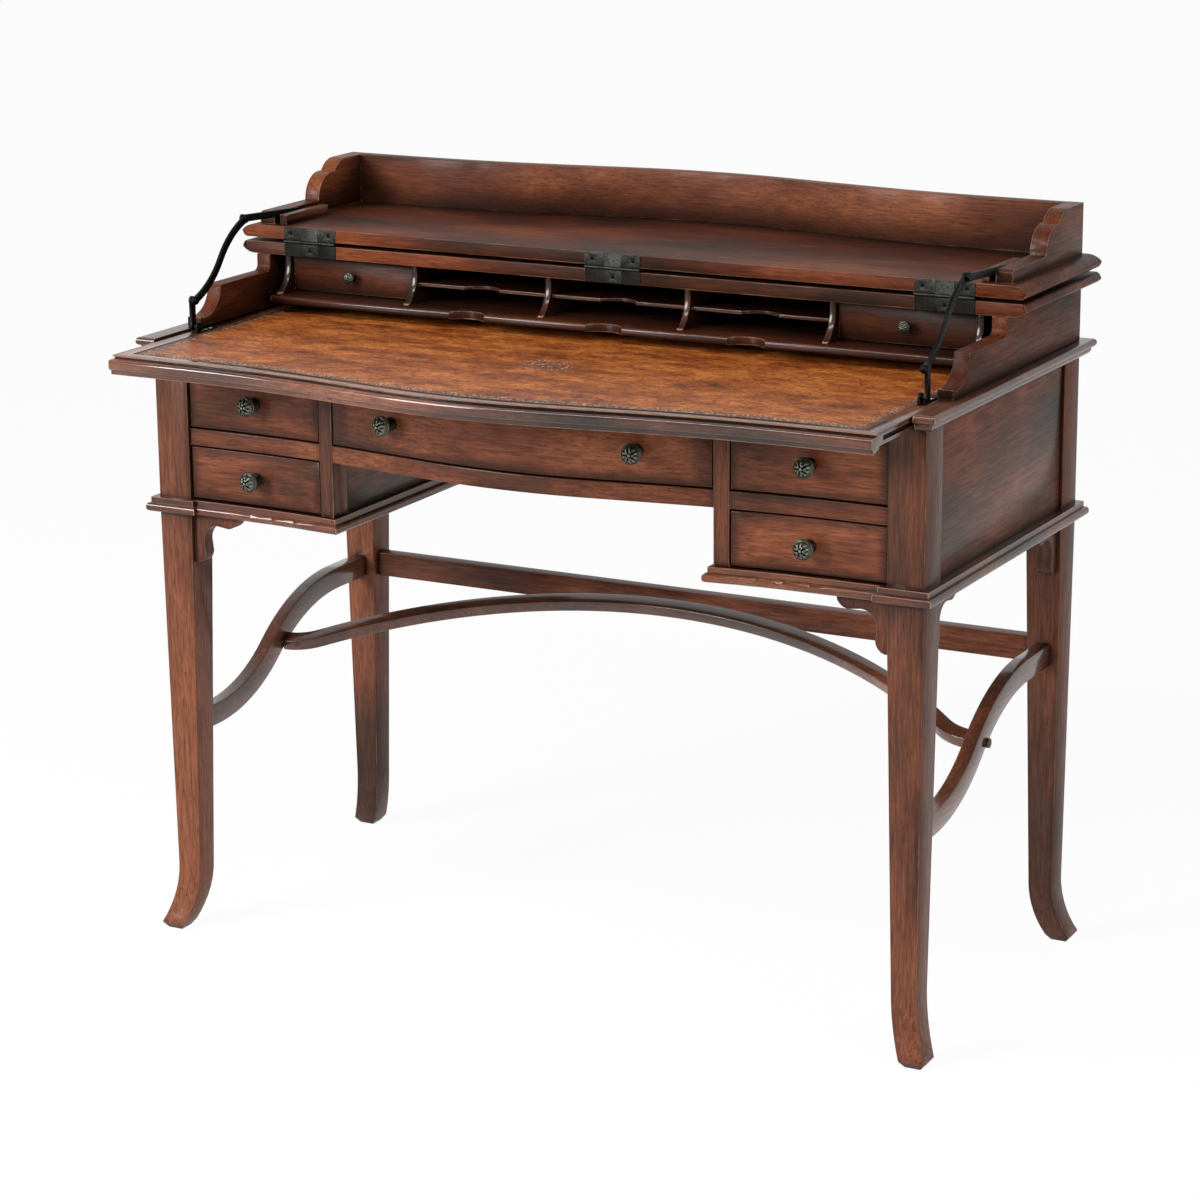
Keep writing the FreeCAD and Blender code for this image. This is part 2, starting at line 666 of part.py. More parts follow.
def make_stretchers():
    boards = []
    pegs = []
    for side in SIDES.values():
        near = "half_width - stretcher_inset - stretcher_board"
        boards.append(prism("YZ", stretcher_outline(), *span(side, near, "half_width - stretcher_inset")))
        head = span(side, "half_width - stretcher_inset", "half_width - stretcher_inset + peg_stand")
        pegs.append(rod("peg_radius", head, HOOP_Y, "hoop_height - hoop_board / 2"))
    keep("side_stretchers", *boards)
    keep("stretcher_pegs", *pegs)
    hoop = prism("XY", hoop_outline(), "-hoop_board", "0")
    keep("hoop_stretcher", place(hoop, y=HOOP_Y, z="hoop_height", roll="hoop_tilt"))
    low = "(stretcher_low + stretcher_rise)"
    high = f"({low} + back_stretcher_height)"
    end = f"(half_width - {leg_inside(high)})"
    middle = f"({BACK} - {leg_inside(low)} / 2 - leg_draw / 2)"
    side_faces = (f"{middle} - back_stretcher_board / 2", f"{middle} + back_stretcher_board / 2")
    keep("back_stretcher", block((f"-{end}", end), side_faces, (low, high)))


# Carcase
def bowed_board(near, far, back, low, high, bow=frame_bow, setback="0"):
    """A board with a serpentine front between two x, and a straight back."""
    front = serpentine(near, far, lambda x: bow(x, setback))
    return prism("XY", [*front, (far, back), (near, back)], low, high)


def base_outline(sign, lip, post_lip):
    """A pedestal base's plan, whose moulding breaks forward around the posts."""
    near = f"(kneehole - {lip})"
    end = f"({POST_INSIDE} - {post_lip})"
    far = f"(half_width + {post_lip})"
    out = f"(0 - {lip})"
    front = f"({FRONT} - {post_lip})"
    back = f"({BACK} + {post_lip})"
    if sign > 0:
        edge = serpentine(near, end, lambda x: frame_bow(x, out))
        return [*edge, (end, front), (far, front), (far, back), (near, back)]
    edge = serpentine(f"(0 - {end})", f"(0 - {near})", lambda x: frame_bow(x, out))
    return [*edge, (f"-{near}", back), (f"-{far}", back), (f"-{far}", front), (f"-{end}", front)]


def make_bases():
    roll_top = "apron_height + base_roll"
    bases = []
    for side in SIDES.values():
        body = prism("XY", base_outline(side, "base_lip", "post_lip"), "apron_height", roll_top)
        rounded(body, "base_roll_round", lambda edge: level(edge, "apron_height", roll_top))
        step = base_outline(side, "(base_lip - base_step)", "(post_lip - base_step)")
        pad(body, "XY", step, roll_top, BASE_TOP)
        posts = span(side, POST_INSIDE, "half_width")
        tall = ("apron_height - fit", f"{BASE_TOP} + fit")
        front_post = block(posts, (FRONT, from_front("post")), tall)
        back_post = block(posts, (f"{BACK} - post", BACK), tall)
        bases.append(cut(body, front_post, back_post))
    keep("pedestal_bases", *bases)


def make_panels():
    sides = []
    kneeholes = []
    stiles = []
    rails = []
    stile = "(kneehole + stile_width)"
    for side in SIDES.values():
        outer = "half_width - panel_reveal"
        board = span(side, f"{outer} - side_board", outer)
        sides.append(block(board, (from_front("post"), f"{BACK} - post"), (BASE_TOP, "waist_height")))
        board = span(side, "kneehole", "kneehole + kneehole_board")
        kneeholes.append(block(board, (FRAME_BACK, BACK_PANEL), (BASE_TOP, BOARD_TOP)))
        stiles.append(bowed_board(*span(side, "kneehole", stile), FRAME_BACK, BASE_TOP, TOP_RAIL_LOW))
        rails.append(bowed_board(*span(side, stile, POST_INSIDE), FRAME_BACK, RAIL_LOW, RAIL_TOP))
    keep("side_panels", *sides)
    keep("kneehole_panels", *kneeholes)
    keep("front_stiles", *stiles)
    rails.append(bowed_board("-kneehole", "kneehole", FRAME_BACK, RAIL_LOW, RAIL_TOP))
    keep("drawer_rails", *rails)
    keep("top_rail", bowed_board(f"-{POST_INSIDE}", POST_INSIDE, FRAME_BACK, TOP_RAIL_LOW, "waist_height"))
    dust = block((f"-{POST_INSIDE}", POST_INSIDE), (FRAME_BACK, BACK_PANEL), (BOARD_TOP, "waist_height"))
    keep("dust_board", dust)
    outline = [
        (f"-{POST_INSIDE}", BASE_TOP),
        ("-kneehole", BASE_TOP),
        ("-kneehole", RAIL_LOW),
        ("kneehole", RAIL_LOW),
        ("kneehole", BASE_TOP),
        (POST_INSIDE, BASE_TOP),
        (POST_INSIDE, "waist_height"),
        (f"-{POST_INSIDE}", "waist_height"),
    ]
    keep("back_panel", prism("XZ", outline, BACK_PANEL, f"{BACK} - back_reveal"))


def make_drawer_runners():
    heights = (f"{RAIL_TOP} - runner_height", RAIL_TOP)
    run = (FRAME_BACK, BACK_PANEL)
    wall = "(half_width - panel_reveal - side_board)"
    inner = "(kneehole + kneehole_board)"
    strips = []
    for side in SIDES.values():
        outer_run = (from_front("post"), f"{BACK} - post")
        strips.append(block(span(side, f"{POST_INSIDE} - runner_width", wall), outer_run, heights))
        strips.append(block(span(side, inner, f"{inner} + runner_width"), run, heights))
        strips.append(block(span(side, "kneehole - runner_width", "kneehole"), run, heights))
    keep("drawer_runners", *strips)


# Waist and writing slide
def waist_band(outline, heights, radius, rounds, inner):
    """One band of the waist moulding, rounded along the edges that leave the inner face."""
    band = prism("XY", outline, *heights)
    rounded(band, radius, lambda edge: level(edge, *rounds) and not inner(edge))
    return band


def waist_length(outline, inner):
    """A length of waist moulding: a roll over a band that draws in to the posts."""
    step = f"({WAIST_TOP} - waist_roll)"
    roll = waist_band(outline("waist_lip"), (step, WAIST_TOP), "waist_round", (step, WAIST_TOP), inner)
    lip = "(waist_lip - waist_round - waist_set)"
    band = waist_band(outline(lip), ("waist_height", step), "waist_under", ("waist_height",), inner)
    return joined(roll, band)


def make_waist():
    inner = "(slide_half + slide_gap)"
    rails = []
    runners = []
    for side in SIDES.values():
        def outline(lip):
            near, far = span(side, inner, f"half_width + {lip}")
            ends = (f"({FRONT} - {lip})", f"({BACK} + {lip})")
            return [(near, ends[0]), (far, ends[0]), (far, ends[1]), (near, ends[1])]

        inner_x = side * number(inner)
        rails.append(waist_length(outline, lambda edge: on_x(edge, inner_x)))
        tip = "(slide_half - groove_depth + fit)"
        low = f"({SLIDE_LOW} + groove_low + fit)"
        run = (from_front("post / 4"), f"{BACK} - post")
        runners.append(block(span(side, tip, inner), run, (low, f"{low} + groove_height - 2 * fit")))
    keep("waist_rails", *rails)

    def back_outline(lip):
        front = f"({BACK} - waist_lip)"
        end = f"({BACK} + {lip})"
        return [(f"-{inner}", front), (inner, front), (inner, end), (f"-{inner}", end)]

    back_y = number(f"{BACK}")
    keep("waist_rail_back", waist_length(back_outline, lambda edge: edge.BoundBox.YMin < back_y))
    keep("slide_runners", *runners)


def on_x(edge, x):
    """Whether an edge lies at one x."""
    return abs(edge.BoundBox.XMin - x) < 0.01 and abs(edge.BoundBox.XMax - x) < 0.01


def on_y(edge, y):
    """Whether an edge lies at one y."""
    return abs(edge.BoundBox.YMin - y) < 0.01 and abs(edge.BoundBox.YMax - y) < 0.01


def before_lip(edge):
    """Whether an edge lies before the slide's upper edge."""
    points = [vertex.Point for vertex in edge.Vertexes]
    return all(point.y < number(slide_bow(f"({point.x})")) for point in points)


def nosing_strip(low, high, setback):
    """A strip of the slide's front moulding, with a serpentine front and back."""
    front = serpentine("-slide_half", "slide_half", lambda x: slide_bow(x, setback))
    back = serpentine("slide_half", "-slide_half", lambda x: slide_bow(x, "nosing_depth"), -1)
    return prism("XY", [*front, *back], low, high)


def make_slide():
    back = f"({FRONT} - slide_reach + slide_length)"
    lip_low = f"({SLIDE_TOP} - slide_lip)"
    nosing_top = f"({lip_low} - quirk_height)"
    bead_top = f"({nosing_top} - nosing_height)"
    bead_low = f"({bead_top} - slide_bead)"

    def board(low, high, setback):
        return bowed_board("-slide_half", "slide_half", back, low, high, slide_bow, setback)

    nosing = nosing_strip(bead_top, nosing_top, "(0 - nosing_reach)")
    rounded(nosing, "nosing_round", lambda edge: level(edge, bead_top, nosing_top) and before_lip(edge))
    bead = nosing_strip(bead_low, bead_top, "(nosing_round + slide_setback - nosing_reach)")
    core = board(SLIDE_LOW, lip_low, "quirk_depth")
    lip = board(lip_low, SLIDE_TOP, "0")
    recess_low = f"({SLIDE_TOP} - leather_sunk - leather_thickness)"
    leather_top = f"{SLIDE_TOP} - leather_sunk"
    leather_back = f"({back} - leather_back)"

    def inset(low, high):
        ends = ("-(slide_half - leather_side)", "(slide_half - leather_side)")
        return bowed_board(*ends, leather_back, low, high, slide_bow, "leather_front")

    groove_z = (f"{SLIDE_LOW} + groove_low", f"{SLIDE_LOW} + groove_low + groove_height")
    groove_y = (f"{FRONT} - slide_reach + leather_back", f"{back} + fit")
    grooves = [block(span(side, "slide_half - groove_depth", "slide_half + fit"), groove_y, groove_z)
               for side in SIDES.values()]
    recess = inset(recess_low, f"{SLIDE_TOP} + fit")
    keep("slide_board", cut(joined(nosing, bead, core, lip), recess, *grooves))
    keep("writing_leather", inset(recess_low, leather_top))


# Upper case
def case_side_outline():
    rail = f"({WAIST_TOP} + case_rail)"
    front = from_front("case_front")
    toe = f"({WAIST_TOP} + case_toe)"
    step = from_front("hinge_place - edge_gap")
    return [
        (front, WAIST_TOP),
        (BACK, WAIST_TOP),
        (BACK, TOP_LOW),
        (step, TOP_LOW),
        (step, f"{rail} + case_step", "case_step", -1),
        (f"{step} - case_step", rail),
        (from_front("case_front + case_cove_run"), rail, "case_cove", -1),
        (front, toe),
    ]


def top_outline(low, high, nose, reach_low, reach_high):
    """A top's section across the desk, with a moulded nose at each end."""
    near = f"(top_half - {reach_low})"
    over = f"(top_half - {reach_high})"

    def curve(run, rise):
        return f"((({run})^2 + ({rise})^2) / (2 * min({run}; {rise})))"

    lower = curve(reach_low, f"{nose} - {low}")
    upper = curve(reach_high, f"{high} - {nose}")
    return [
        (f"-{near}", low),
        (near, low, lower, 1),
        ("top_half", nose, upper, 1),
        (over, high),
        (f"-{over}", high, upper, 1),
        ("-top_half", nose, lower, 1),
    ]


def make_case():
    sides = [prism("YZ", case_side_outline(), *span(side, "half_width - case_board", "half_width"))
             for side in SIDES.values()]
    keep("case_sides", *sides)
    inside = "(half_width - case_board)"
    back = (UNIT_BACK, f"{UNIT_BACK} + case_back_board")
    keep("case_back", block((f"-{inside}", inside), back, (WAIST_TOP, TOP_LOW)))
    outline = top_outline(TOP_LOW, TOP_FACE, f"({TOP_LOW} + nose_height)", "nose_under", "nose_over")
    board = prism("XZ", outline, EDGE_Y, f"{BACK} + lid_overhang")
    keep("fixed_top", cut(board, *leaf_beds(TOP_LOW, TOP_FACE)))


def make_pigeonholes():
    half = "unit_half"
    outline = [
        (f"-{half}", from_front("unit_front")),
        (half, from_front("unit_front")),
        (half, UNIT_BACK),
        (f"-{half}", UNIT_BACK),
    ]
    base = prism("XY", outline, UNIT_LOW, UNIT_TOP)
    nosing = number(from_front("unit_front"))
    rounded(base, "unit_nosing", lambda edge: level(edge, UNIT_LOW, UNIT_TOP) and on_y(edge, nosing))
    column = "((divider_inner + divider_outer) / 2)"
    middles = (f"-{column}", "0", column)
    through = (f"{UNIT_LOW} - fit", f"{TOP_LOW}")
    notches = [finger_notch(x, "unit_front", through) for x in middles]
    keep("unit_base", cut(base, *notches))
    dividers = []
    for side in SIDES.values():
        for place_x in ("(unit_half - divider_board / 2)", "divider_outer", "divider_inner"):
            board = span(side, f"{place_x} - divider_board / 2", f"{place_x} + divider_board / 2")
            dividers.append(prism("YZ", [
                (from_front("divider_foot"), UNIT_TOP),
                (UNIT_BACK, UNIT_TOP),
                (UNIT_BACK, TOP_LOW),
                (from_front("divider_head"), TOP_LOW, "divider_hollow", -1),
            ], *board))
    keep("dividers", *dividers)
    inner = "(divider_inner + divider_board / 2)"
    outer = "(divider_outer - divider_board / 2)"
    middle_bay = ("divider_board / 2 - divider_inner", "divider_inner - divider_board / 2")
    bays = (span(-1, inner, outer), middle_bay, span(1, inner, outer))
    low = f"({UNIT_TOP} + shelf_lift)"
    shelves = []
    for bay, x in zip(bays, middles):
        board = block(bay, (from_front("shelf_front"), UNIT_BACK), (low, f"{low} + shelf_board"))
        shelves.append(cut(board, finger_notch(x, "shelf_front", through)))
    keep("shelves", *shelves)


def finger_notch(x, edge, heights):
    """A round tool that cuts a finger notch into a front edge."""
    return post_hole("notch_radius", x, from_front(f"{edge} + notch_depth - notch_radius"), heights)


# Lid
def gallery_outline():
    rail = f"({LID_FACE} + gallery_rail)"
    top = f"({LID_FACE} + gallery_height)"
    start = from_front("gallery_start")
    lobe = from_front("gallery_lobe_start")
    shoulder = f"({rail} + gallery_lobe)"
    crown = f"({lobe} + gallery_lobe + gallery_ledge)"
    climb = f"({top} - {shoulder})"
    return [
        (start, LID_FACE),
        (BACK, LID_FACE),
        (BACK, top),
        (f"{crown} + gallery_crown", top, f"((gallery_crown^2 + {climb}^2) / (2 * {climb}))", 1),
        (crown, shoulder),
        (f"{crown} - gallery_ledge", shoulder, "gallery_lobe", 1),
        (lobe, rail),
        (f"{start} + 6", rail, "6", 1),
        (start, f"{rail} - 6"),
    ]


def make_lid():
    outline = top_outline(LID_LOW, LID_FACE, f"({LID_FACE} - nose_height)", "nose_over", "nose_under")
    end = f"({BACK} + lid_overhang)"
    section = prism("XZ", outline, EDGE_Y, f"{end} + {SWELL}")
    edge = serpentine("top_half", "(0 - top_half)", lambda x: f"({end} + {swell(x)})")
    plan = prism("XY", [("-top_half", EDGE_Y), ("top_half", EDGE_Y), *edge], LID_LOW, LID_FACE)
    keep("lid_panel", cut(crossed(section, plan), *leaf_beds(LID_LOW, LID_FACE)))
    sides = [prism("YZ", gallery_outline(), *span(side, GALLERY_INSIDE, "half_width"))
             for side in SIDES.values()]
    keep("gallery_sides", *sides)
    inner = f"({BACK} - gallery_back_board)"
    ends = (f"(0 - {GALLERY_INSIDE})", GALLERY_INSIDE)
    front = serpentine(*ends, lambda x: f"({inner} + {swell(x)})", -1)
    back = serpentine(*reversed(ends), lambda x: f"({BACK} + {swell(x)})")
    keep("gallery_back", prism("XY", [*front, *back], LID_FACE, f"{LID_FACE} + gallery_height"))
    outer = f"({GALLERY_INSIDE} - strip_slot)"
    start = from_front("gallery_start")
    strips = [block(span(side, f"{outer} - strip_width", outer), (start, f"{start} + strip_length"),
                    (LID_FACE, f"{LID_FACE} + strip_height")) for side in SIDES.values()]
    keep("stay_strips", *strips)


# Hinges
HINGE_MIDDLES = ("-hinge_spacing", "0", "hinge_spacing")
LEAF_FRONT = f"({AXIS_Y} + fit)"
LEAF_BACK = f"({AXIS_Y} + fit + leaf_thickness)"


def hinge_span(middle):
    """The two ends of a hinge."""
    return f"({middle} - hinge_length / 2)", f"({middle} + hinge_length / 2)"


def leaf_beds(low, high):
    """The shallow beds that a top's hinge leaves lie in."""
    return [block(hinge_span(middle), (f"{EDGE_Y} - fit", LEAF_BACK), (low, high))
            for middle in HINGE_MIDDLES]


def hinge_leaf(middle, low, high, knuckles):
    """A leaf with the knuckles that it carries, bored for the pin."""
    ends = hinge_span(middle)
    pieces = [block(ends, (LEAF_FRONT, LEAF_BACK), (low, high))]
    web = (f"min({low}; {AXIS_Z})", f"max({high}; {AXIS_Z})")
    for first, last in knuckles:
        near = f"({ends[0]} + hinge_length * {first} + fit / 2)"
        far = f"({ends[0]} + hinge_length * {last} - fit / 2)"
        x = (near, far)
        pieces.append(rod("knuckle_radius", x, AXIS_Y, AXIS_Z))
        pieces.append(block(x, (AXIS_Y, LEAF_BACK), web))
    bore = rod("pin_radius + pin_play", ends, AXIS_Y, AXIS_Z)
    return cut(joined(*pieces), bore, *leaf_screws(middle, low))


def screw(x, z):
    """A countersunk hinge screw, flush with its leaf."""
    cone = doc.addObject("Part::Cone", "screw")
    bind(cone, Radius1="screw_radius", Radius2="screw_radius / 3", Height="screw_length")
    return place(cone, x, LEAF_FRONT, z, roll="-90")


def leaf_screws(middle, low):
    """The screws of one leaf, in a row along it."""
    return [screw(f"({middle} + {step} * screw_spacing)", f"({low} + top_thickness / 2)")
            for step in (-1, 0, 1)]


def make_hinges():
    case_leaves = []
    lid_leaves = []
    pins = []
    case_screws = []
    lid_screws = []
    for middle in HINGE_MIDDLES:
        case_leaves.append(hinge_leaf(middle, TOP_LOW, TOP_FACE, ((0, 0.34), (0.66, 1))))
        lid_leaves.append(hinge_leaf(middle, LID_LOW, LID_FACE, ((0.34, 0.66),)))
        pins.append(rod("pin_radius", hinge_span(middle), AXIS_Y, AXIS_Z))
        case_screws.extend(leaf_screws(middle, TOP_LOW))
        lid_screws.extend(leaf_screws(middle, LID_LOW))
    keep("hinge_case_leaves", *case_leaves)
    keep("hinge_lid_leaves", *lid_leaves)
    keep("hinge_pins", *pins)
    keep("hinge_case_screws", *case_screws)
    keep("hinge_lid_screws", *lid_screws)


# Stays
OUTER_PLANE = (f"({GALLERY_INSIDE} - stay_board)", GALLERY_INSIDE)
INNER_PLANE = (
    f"({GALLERY_INSIDE} - 2 * stay_board - stay_gap)",
    f"({GALLERY_INSIDE} - stay_board - stay_gap)",
)
EAR_PLANE = (f"({INNER_PLANE[0]} - stay_gap - stay_board)", f"({INNER_PLANE[0]} - stay_gap)")
EYE_Y = f"({STAY_Y} + bar_run)"
EYE_Z = f"({BAR_Z} + bar_rise)"
PIN_HOLE = "(stay_pin + pin_play)"


def bar_outline():
    """A stay bar's S along its chord, of two equal arcs."""
    chord = "sqrt(bar_run^2 + bar_rise^2)"
    half = "stay_width / 2"
    radius = f"({chord} / (4 * sin(bar_curl)))"
    tilt = f"({half} * sin(bar_curl))"
    rise = f"({half} * cos(bar_curl))"
    wide = f"({radius} + {half})"
    tight = f"({radius} - {half})"
    return [
        (f"-{tilt}", f"-{rise}", wide, 1),
        (f"{chord} / 2 + {tilt}", f"-{rise}", tight, -1),
        (f"{chord} - {tilt}", f"-{rise}"),
        (f"{chord} + {tilt}", rise, wide, 1),
        (f"{chord} / 2 - {tilt}", rise, tight, -1),
        (tilt, rise),
    ]


def stay_bar(side):
    board = span(side, *INNER_PLANE)
    through = span(side, f"{INNER_PLANE[0]} - 2 * stay_board", f"{INNER_PLANE[1]} + fit")
    body = place(prism("YZ", bar_outline(), *board), y=STAY_Y, z=BAR_Z, roll="atan2(bar_rise; bar_run)")
    head = span(side, f"{INNER_PLANE[0]} - stay_board / 2", INNER_PLANE[0])
    whole = joined(body, rod("stay_eye", board, STAY_Y, BAR_Z), rod("stay_eye", board, EYE_Y, EYE_Z),
                   rod("stay_pin_head", head, EYE_Y, EYE_Z))
    return cut(whole, rod(PIN_HOLE, through, STAY_Y, BAR_Z))


def stay_link(side):
    board = span(side, *OUTER_PLANE)
    stud = span(side, f"{INNER_PLANE[0]} - stay_gap", OUTER_PLANE[0])
    head = span(side, f"{INNER_PLANE[0]} - stay_gap - stay_board / 2", f"{INNER_PLANE[0]} - stay_gap")
    flank = (f"{STAY_Y} - stay_width / 2", f"{STAY_Y} + stay_width / 2")
    whole = joined(block(board, flank, (LINK_Z, BAR_Z)), rod("stay_eye", board, STAY_Y, LINK_Z),
                   rod("stay_eye", board, STAY_Y, BAR_Z), rod("stay_pin", stud, STAY_Y, BAR_Z),
                   rod("stay_pin_head", head, STAY_Y, BAR_Z))
    return cut(whole, rod(PIN_HOLE, board, STAY_Y, LINK_Z))


def stay_plate(side):
    ear = span(side, *EAR_PLANE)
    flank = (f"{STAY_Y} - stay_eye", f"{STAY_Y} + stay_eye")
    foot_x = span(side, EAR_PLANE[0], INNER_PLANE[1])
    foot_y = (f"{STAY_Y} - stay_eye", f"{STAY_Y} - stay_eye + plate_length")
    foot = block(foot_x, foot_y, (SLIDE_TOP, f"{SLIDE_TOP} + plate_thickness"))
    stud = rod("stay_pin", span(side, EAR_PLANE[1], OUTER_PLANE[1]), STAY_Y, LINK_Z)
    return joined(foot, block(ear, flank, (SLIDE_TOP, LINK_Z)), rod("stay_eye", ear, STAY_Y, LINK_Z), stud)


def lid_arm(side):
    board = span(side, *OUTER_PLANE)
    tail = from_front("gallery_start + arm_tail")
    half = "stay_width / 2"
    strap = prism("YZ", [
        (EYE_Y, f"{EYE_Z} - {half}"),
        (tail, f"{EYE_Z} - arm_drop - {half}"),
        (tail, f"{EYE_Z} - arm_drop + {half}"),
        (EYE_Y, f"{EYE_Z} + {half}"),
    ], *board)
    return joined(strap, rod("stay_eye", board, EYE_Y, EYE_Z))


def make_stays():
    for label, maker in (("stay_plates", stay_plate), ("stay_links", stay_link),
                         ("stay_bars", stay_bar), ("lid_arms", lid_arm)):
        keep(label, *[maker(side) for side in SIDES.values()])


# Drawers
def knob(head, length, x, y, z, yaw):
    """A turned knob that stands square to its drawer front."""
    plate = f"({head} * knob_plate / knob_head)"
    neck = f"({head} * knob_neck / knob_head)"
    rim = f"({head} * 0.72)"
    crown = f"({length} * 0.07)"
    body = turned([
        ("0", "0"),
        (plate, "0"),
        (plate, f"{length} * 0.09"),
        (neck, f"{length} * 0.18"),
        (neck, f"{length} * 0.42"),
        (f"{head} * 0.86", f"{length} * 0.52", f"{head} * 0.4", 1),
        (head, f"{length} * 0.7", f"{head} * 0.4", 1),
        (rim, f"{length} - {crown}", f"(({rim}^2 + {crown}^2) / (2 * {crown}))", 1),
        ("0", length),
    ])
    return place(body, x, y, z, yaw=yaw, roll="90")


def tray(x, y, z, wall, floor):
    """An open-topped drawer tray."""
    inside = [(f"{low} + {wall}", f"{high} - {wall}") for low, high in (x, y)]
    return cut(block(x, y, z), block(*inside, (f"{z[0]} + {floor}", f"{z[1]} + fit")))


def front_drawer(name, near, far, low, high, knobs):
    """A drawer behind the serpentine front, between two x and two z of its opening."""
    edge = (f"({near} + drawer_gap)", f"({far} - drawer_gap)")
    back = f"({FRONT} + frame_reveal + drawer_front)"
    bottom = f"({low} + drawer_gap)"
    top = f"({high} - drawer_gap)"
    keep("drawer_front_" + name, bowed_board(*edge, back, bottom, top, setback="front_reveal"))
    box = tray((f"{near} + tray_side_gap", f"{far} - tray_side_gap"), (back, f"{back} + tray_length"),
               (f"{low} + fit", f"{top} - tray_drop"), "tray_wall", "tray_floor")
    keep("drawer_tray_" + name, box)
    height = f"(({low} + {high}) / 2)"
    keep("drawer_knob_" + name, *[knob("knob_head", "knob_length", x, frame_bow(x, "front_reveal"), height,
                                       lean(x)) for x in knobs])


def small_drawer(name, side):
    near = "(divider_outer + divider_board / 2)"
    far = "(unit_half - divider_board)"
    face = from_front("small_drawer_place")
    back = f"({face} + small_front)"
    heights = (f"({UNIT_TOP} + drawer_gap)", f"({TOP_LOW} - drawer_gap)")
    gap = "drawer_gap"
    board = block(span(side, f"{near} + {gap}", f"{far} - {gap}"), (face, back), heights)
    keep("small_front_" + name, board)
    box = tray(span(side, f"{near} + {gap}", f"{far} - {gap}"), (back, f"{back} + small_tray_length"),
               (f"{UNIT_TOP} + fit", f"{TOP_LOW} - 3 * {gap}"), "small_wall", "small_wall")
    keep("small_tray_" + name, box)
    middle = f"({side} * ({near} + {far}) / 2)"
    keep("small_knob_" + name, knob("small_knob", "small_knob_length", middle, face,
                                    f"(({heights[0]} + {heights[1]}) / 2)", "0"))


def make_drawers():
    stile = "(kneehole + stile_width)"
    middle = f"(({stile} + {POST_INSIDE}) / 2)"
    for name, side in SIDES.items():
        ends = span(side, stile, POST_INSIDE)
        x = f"({side} * {middle})"
        front_drawer("lower_" + name, *ends, BASE_TOP, RAIL_LOW, (x,))
        front_drawer("upper_" + name, *ends, RAIL_TOP, TOP_RAIL_LOW, (x,))
        small_drawer(name, side)
    front_drawer("centre", "-kneehole", "kneehole", RAIL_TOP, TOP_RAIL_LOW, ("-knob_spread", "knob_spread"))


def check_and_write():
    """Stops at the first object that failed, then writes each sub-part."""
    doc.recompute()
    for item in doc.Objects:
        if "Invalid" in item.State or "Error" in item.State:
            raise RuntimeError("%s (%s) failed" % (item.Label, item.Name))
    for item in subparts:
        if item.Shape.isNull() or not item.Shape.isValid() or not item.Shape.Solids:
            raise RuntimeError("%s has no valid solid" % item.Label)
    os.makedirs("parts", exist_ok=True)
    for item in subparts:
        item.Shape.exportStep(os.path.join("parts", item.Label + ".step"))
    print(len(subparts), "sub-parts written")


make_legs()
make_brackets()
make_stretchers()
make_bases()
make_panels()
make_drawer_runners()
make_waist()
make_slide()
make_case()
make_pigeonholes()
make_lid()
make_hinges()
make_stays()
make_drawers()
check_and_write()
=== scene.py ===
# %% [markdown]
# # A fold-over writing desk, dressed for its portrait
# The desk's solids arrive as a finished frame: legs, stretchers, carcase, drawers, slide, pigeonholes, lid,
# hinges and stays. This lesson gives each surface its finish and adds what is too fine for the solids: a
# tooled leather, cast knobs and slotted screws.

# %% Load the frame
import math

import bpy
from mathutils import Matrix, Vector


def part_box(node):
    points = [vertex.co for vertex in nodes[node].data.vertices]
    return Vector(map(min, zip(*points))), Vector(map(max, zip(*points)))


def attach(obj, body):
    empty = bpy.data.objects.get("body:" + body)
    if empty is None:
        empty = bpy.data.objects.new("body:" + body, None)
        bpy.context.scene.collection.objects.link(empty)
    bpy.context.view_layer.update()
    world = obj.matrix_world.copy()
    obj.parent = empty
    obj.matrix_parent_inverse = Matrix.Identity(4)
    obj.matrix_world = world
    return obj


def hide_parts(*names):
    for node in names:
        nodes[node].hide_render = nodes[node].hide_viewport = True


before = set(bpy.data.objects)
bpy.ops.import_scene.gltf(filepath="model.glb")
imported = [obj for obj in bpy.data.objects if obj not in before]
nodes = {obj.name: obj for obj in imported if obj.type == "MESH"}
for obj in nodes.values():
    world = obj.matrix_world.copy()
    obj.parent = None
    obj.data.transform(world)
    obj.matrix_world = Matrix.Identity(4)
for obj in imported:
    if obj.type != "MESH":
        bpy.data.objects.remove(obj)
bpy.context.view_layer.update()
MM = 0.001
POST = 46 * MM
POST_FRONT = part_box("side_panels")[0].y - POST
print("The posts' front lies at y =", round(POST_FRONT, 4))

# %% [markdown]
# ## Colours and nodes
# A finish is a net of nodes that ends in a shader. It could be drawn by hand in the node editor, but code can
# make it again for each direction of grain. Colours are written as they look on a screen, in hex, and one
# function turns them to the linear values that shaders need. One more function adds a node with its settings
# and links, and gives back its outputs, so that one node can feed the next. Two settings come up all the
# time: a MapRange that runs smoothly from one value to another, and a Mix of two colours. They have names.

# %% Helpers for materials
SMOOTH = {"interpolation_type": "SMOOTHSTEP"}  # a MapRange's inputs: value, from, to, least, most
COLOURS = {"data_type": "RGBA"}  # a Mix's inputs: 0 is the factor, 6 and 7 the colours; its output is 2


def linear(hex_colour):
    """An sRGB hex colour as the linear RGBA that a shader takes."""
    channels = [int(hex_colour[i:i + 2], 16) / 255 for i in (1, 3, 5)]
    return [c / 12.92 if c <= 0.04045 else ((c + 0.055) / 1.055) ** 2.4 for c in channels] + [1.0]


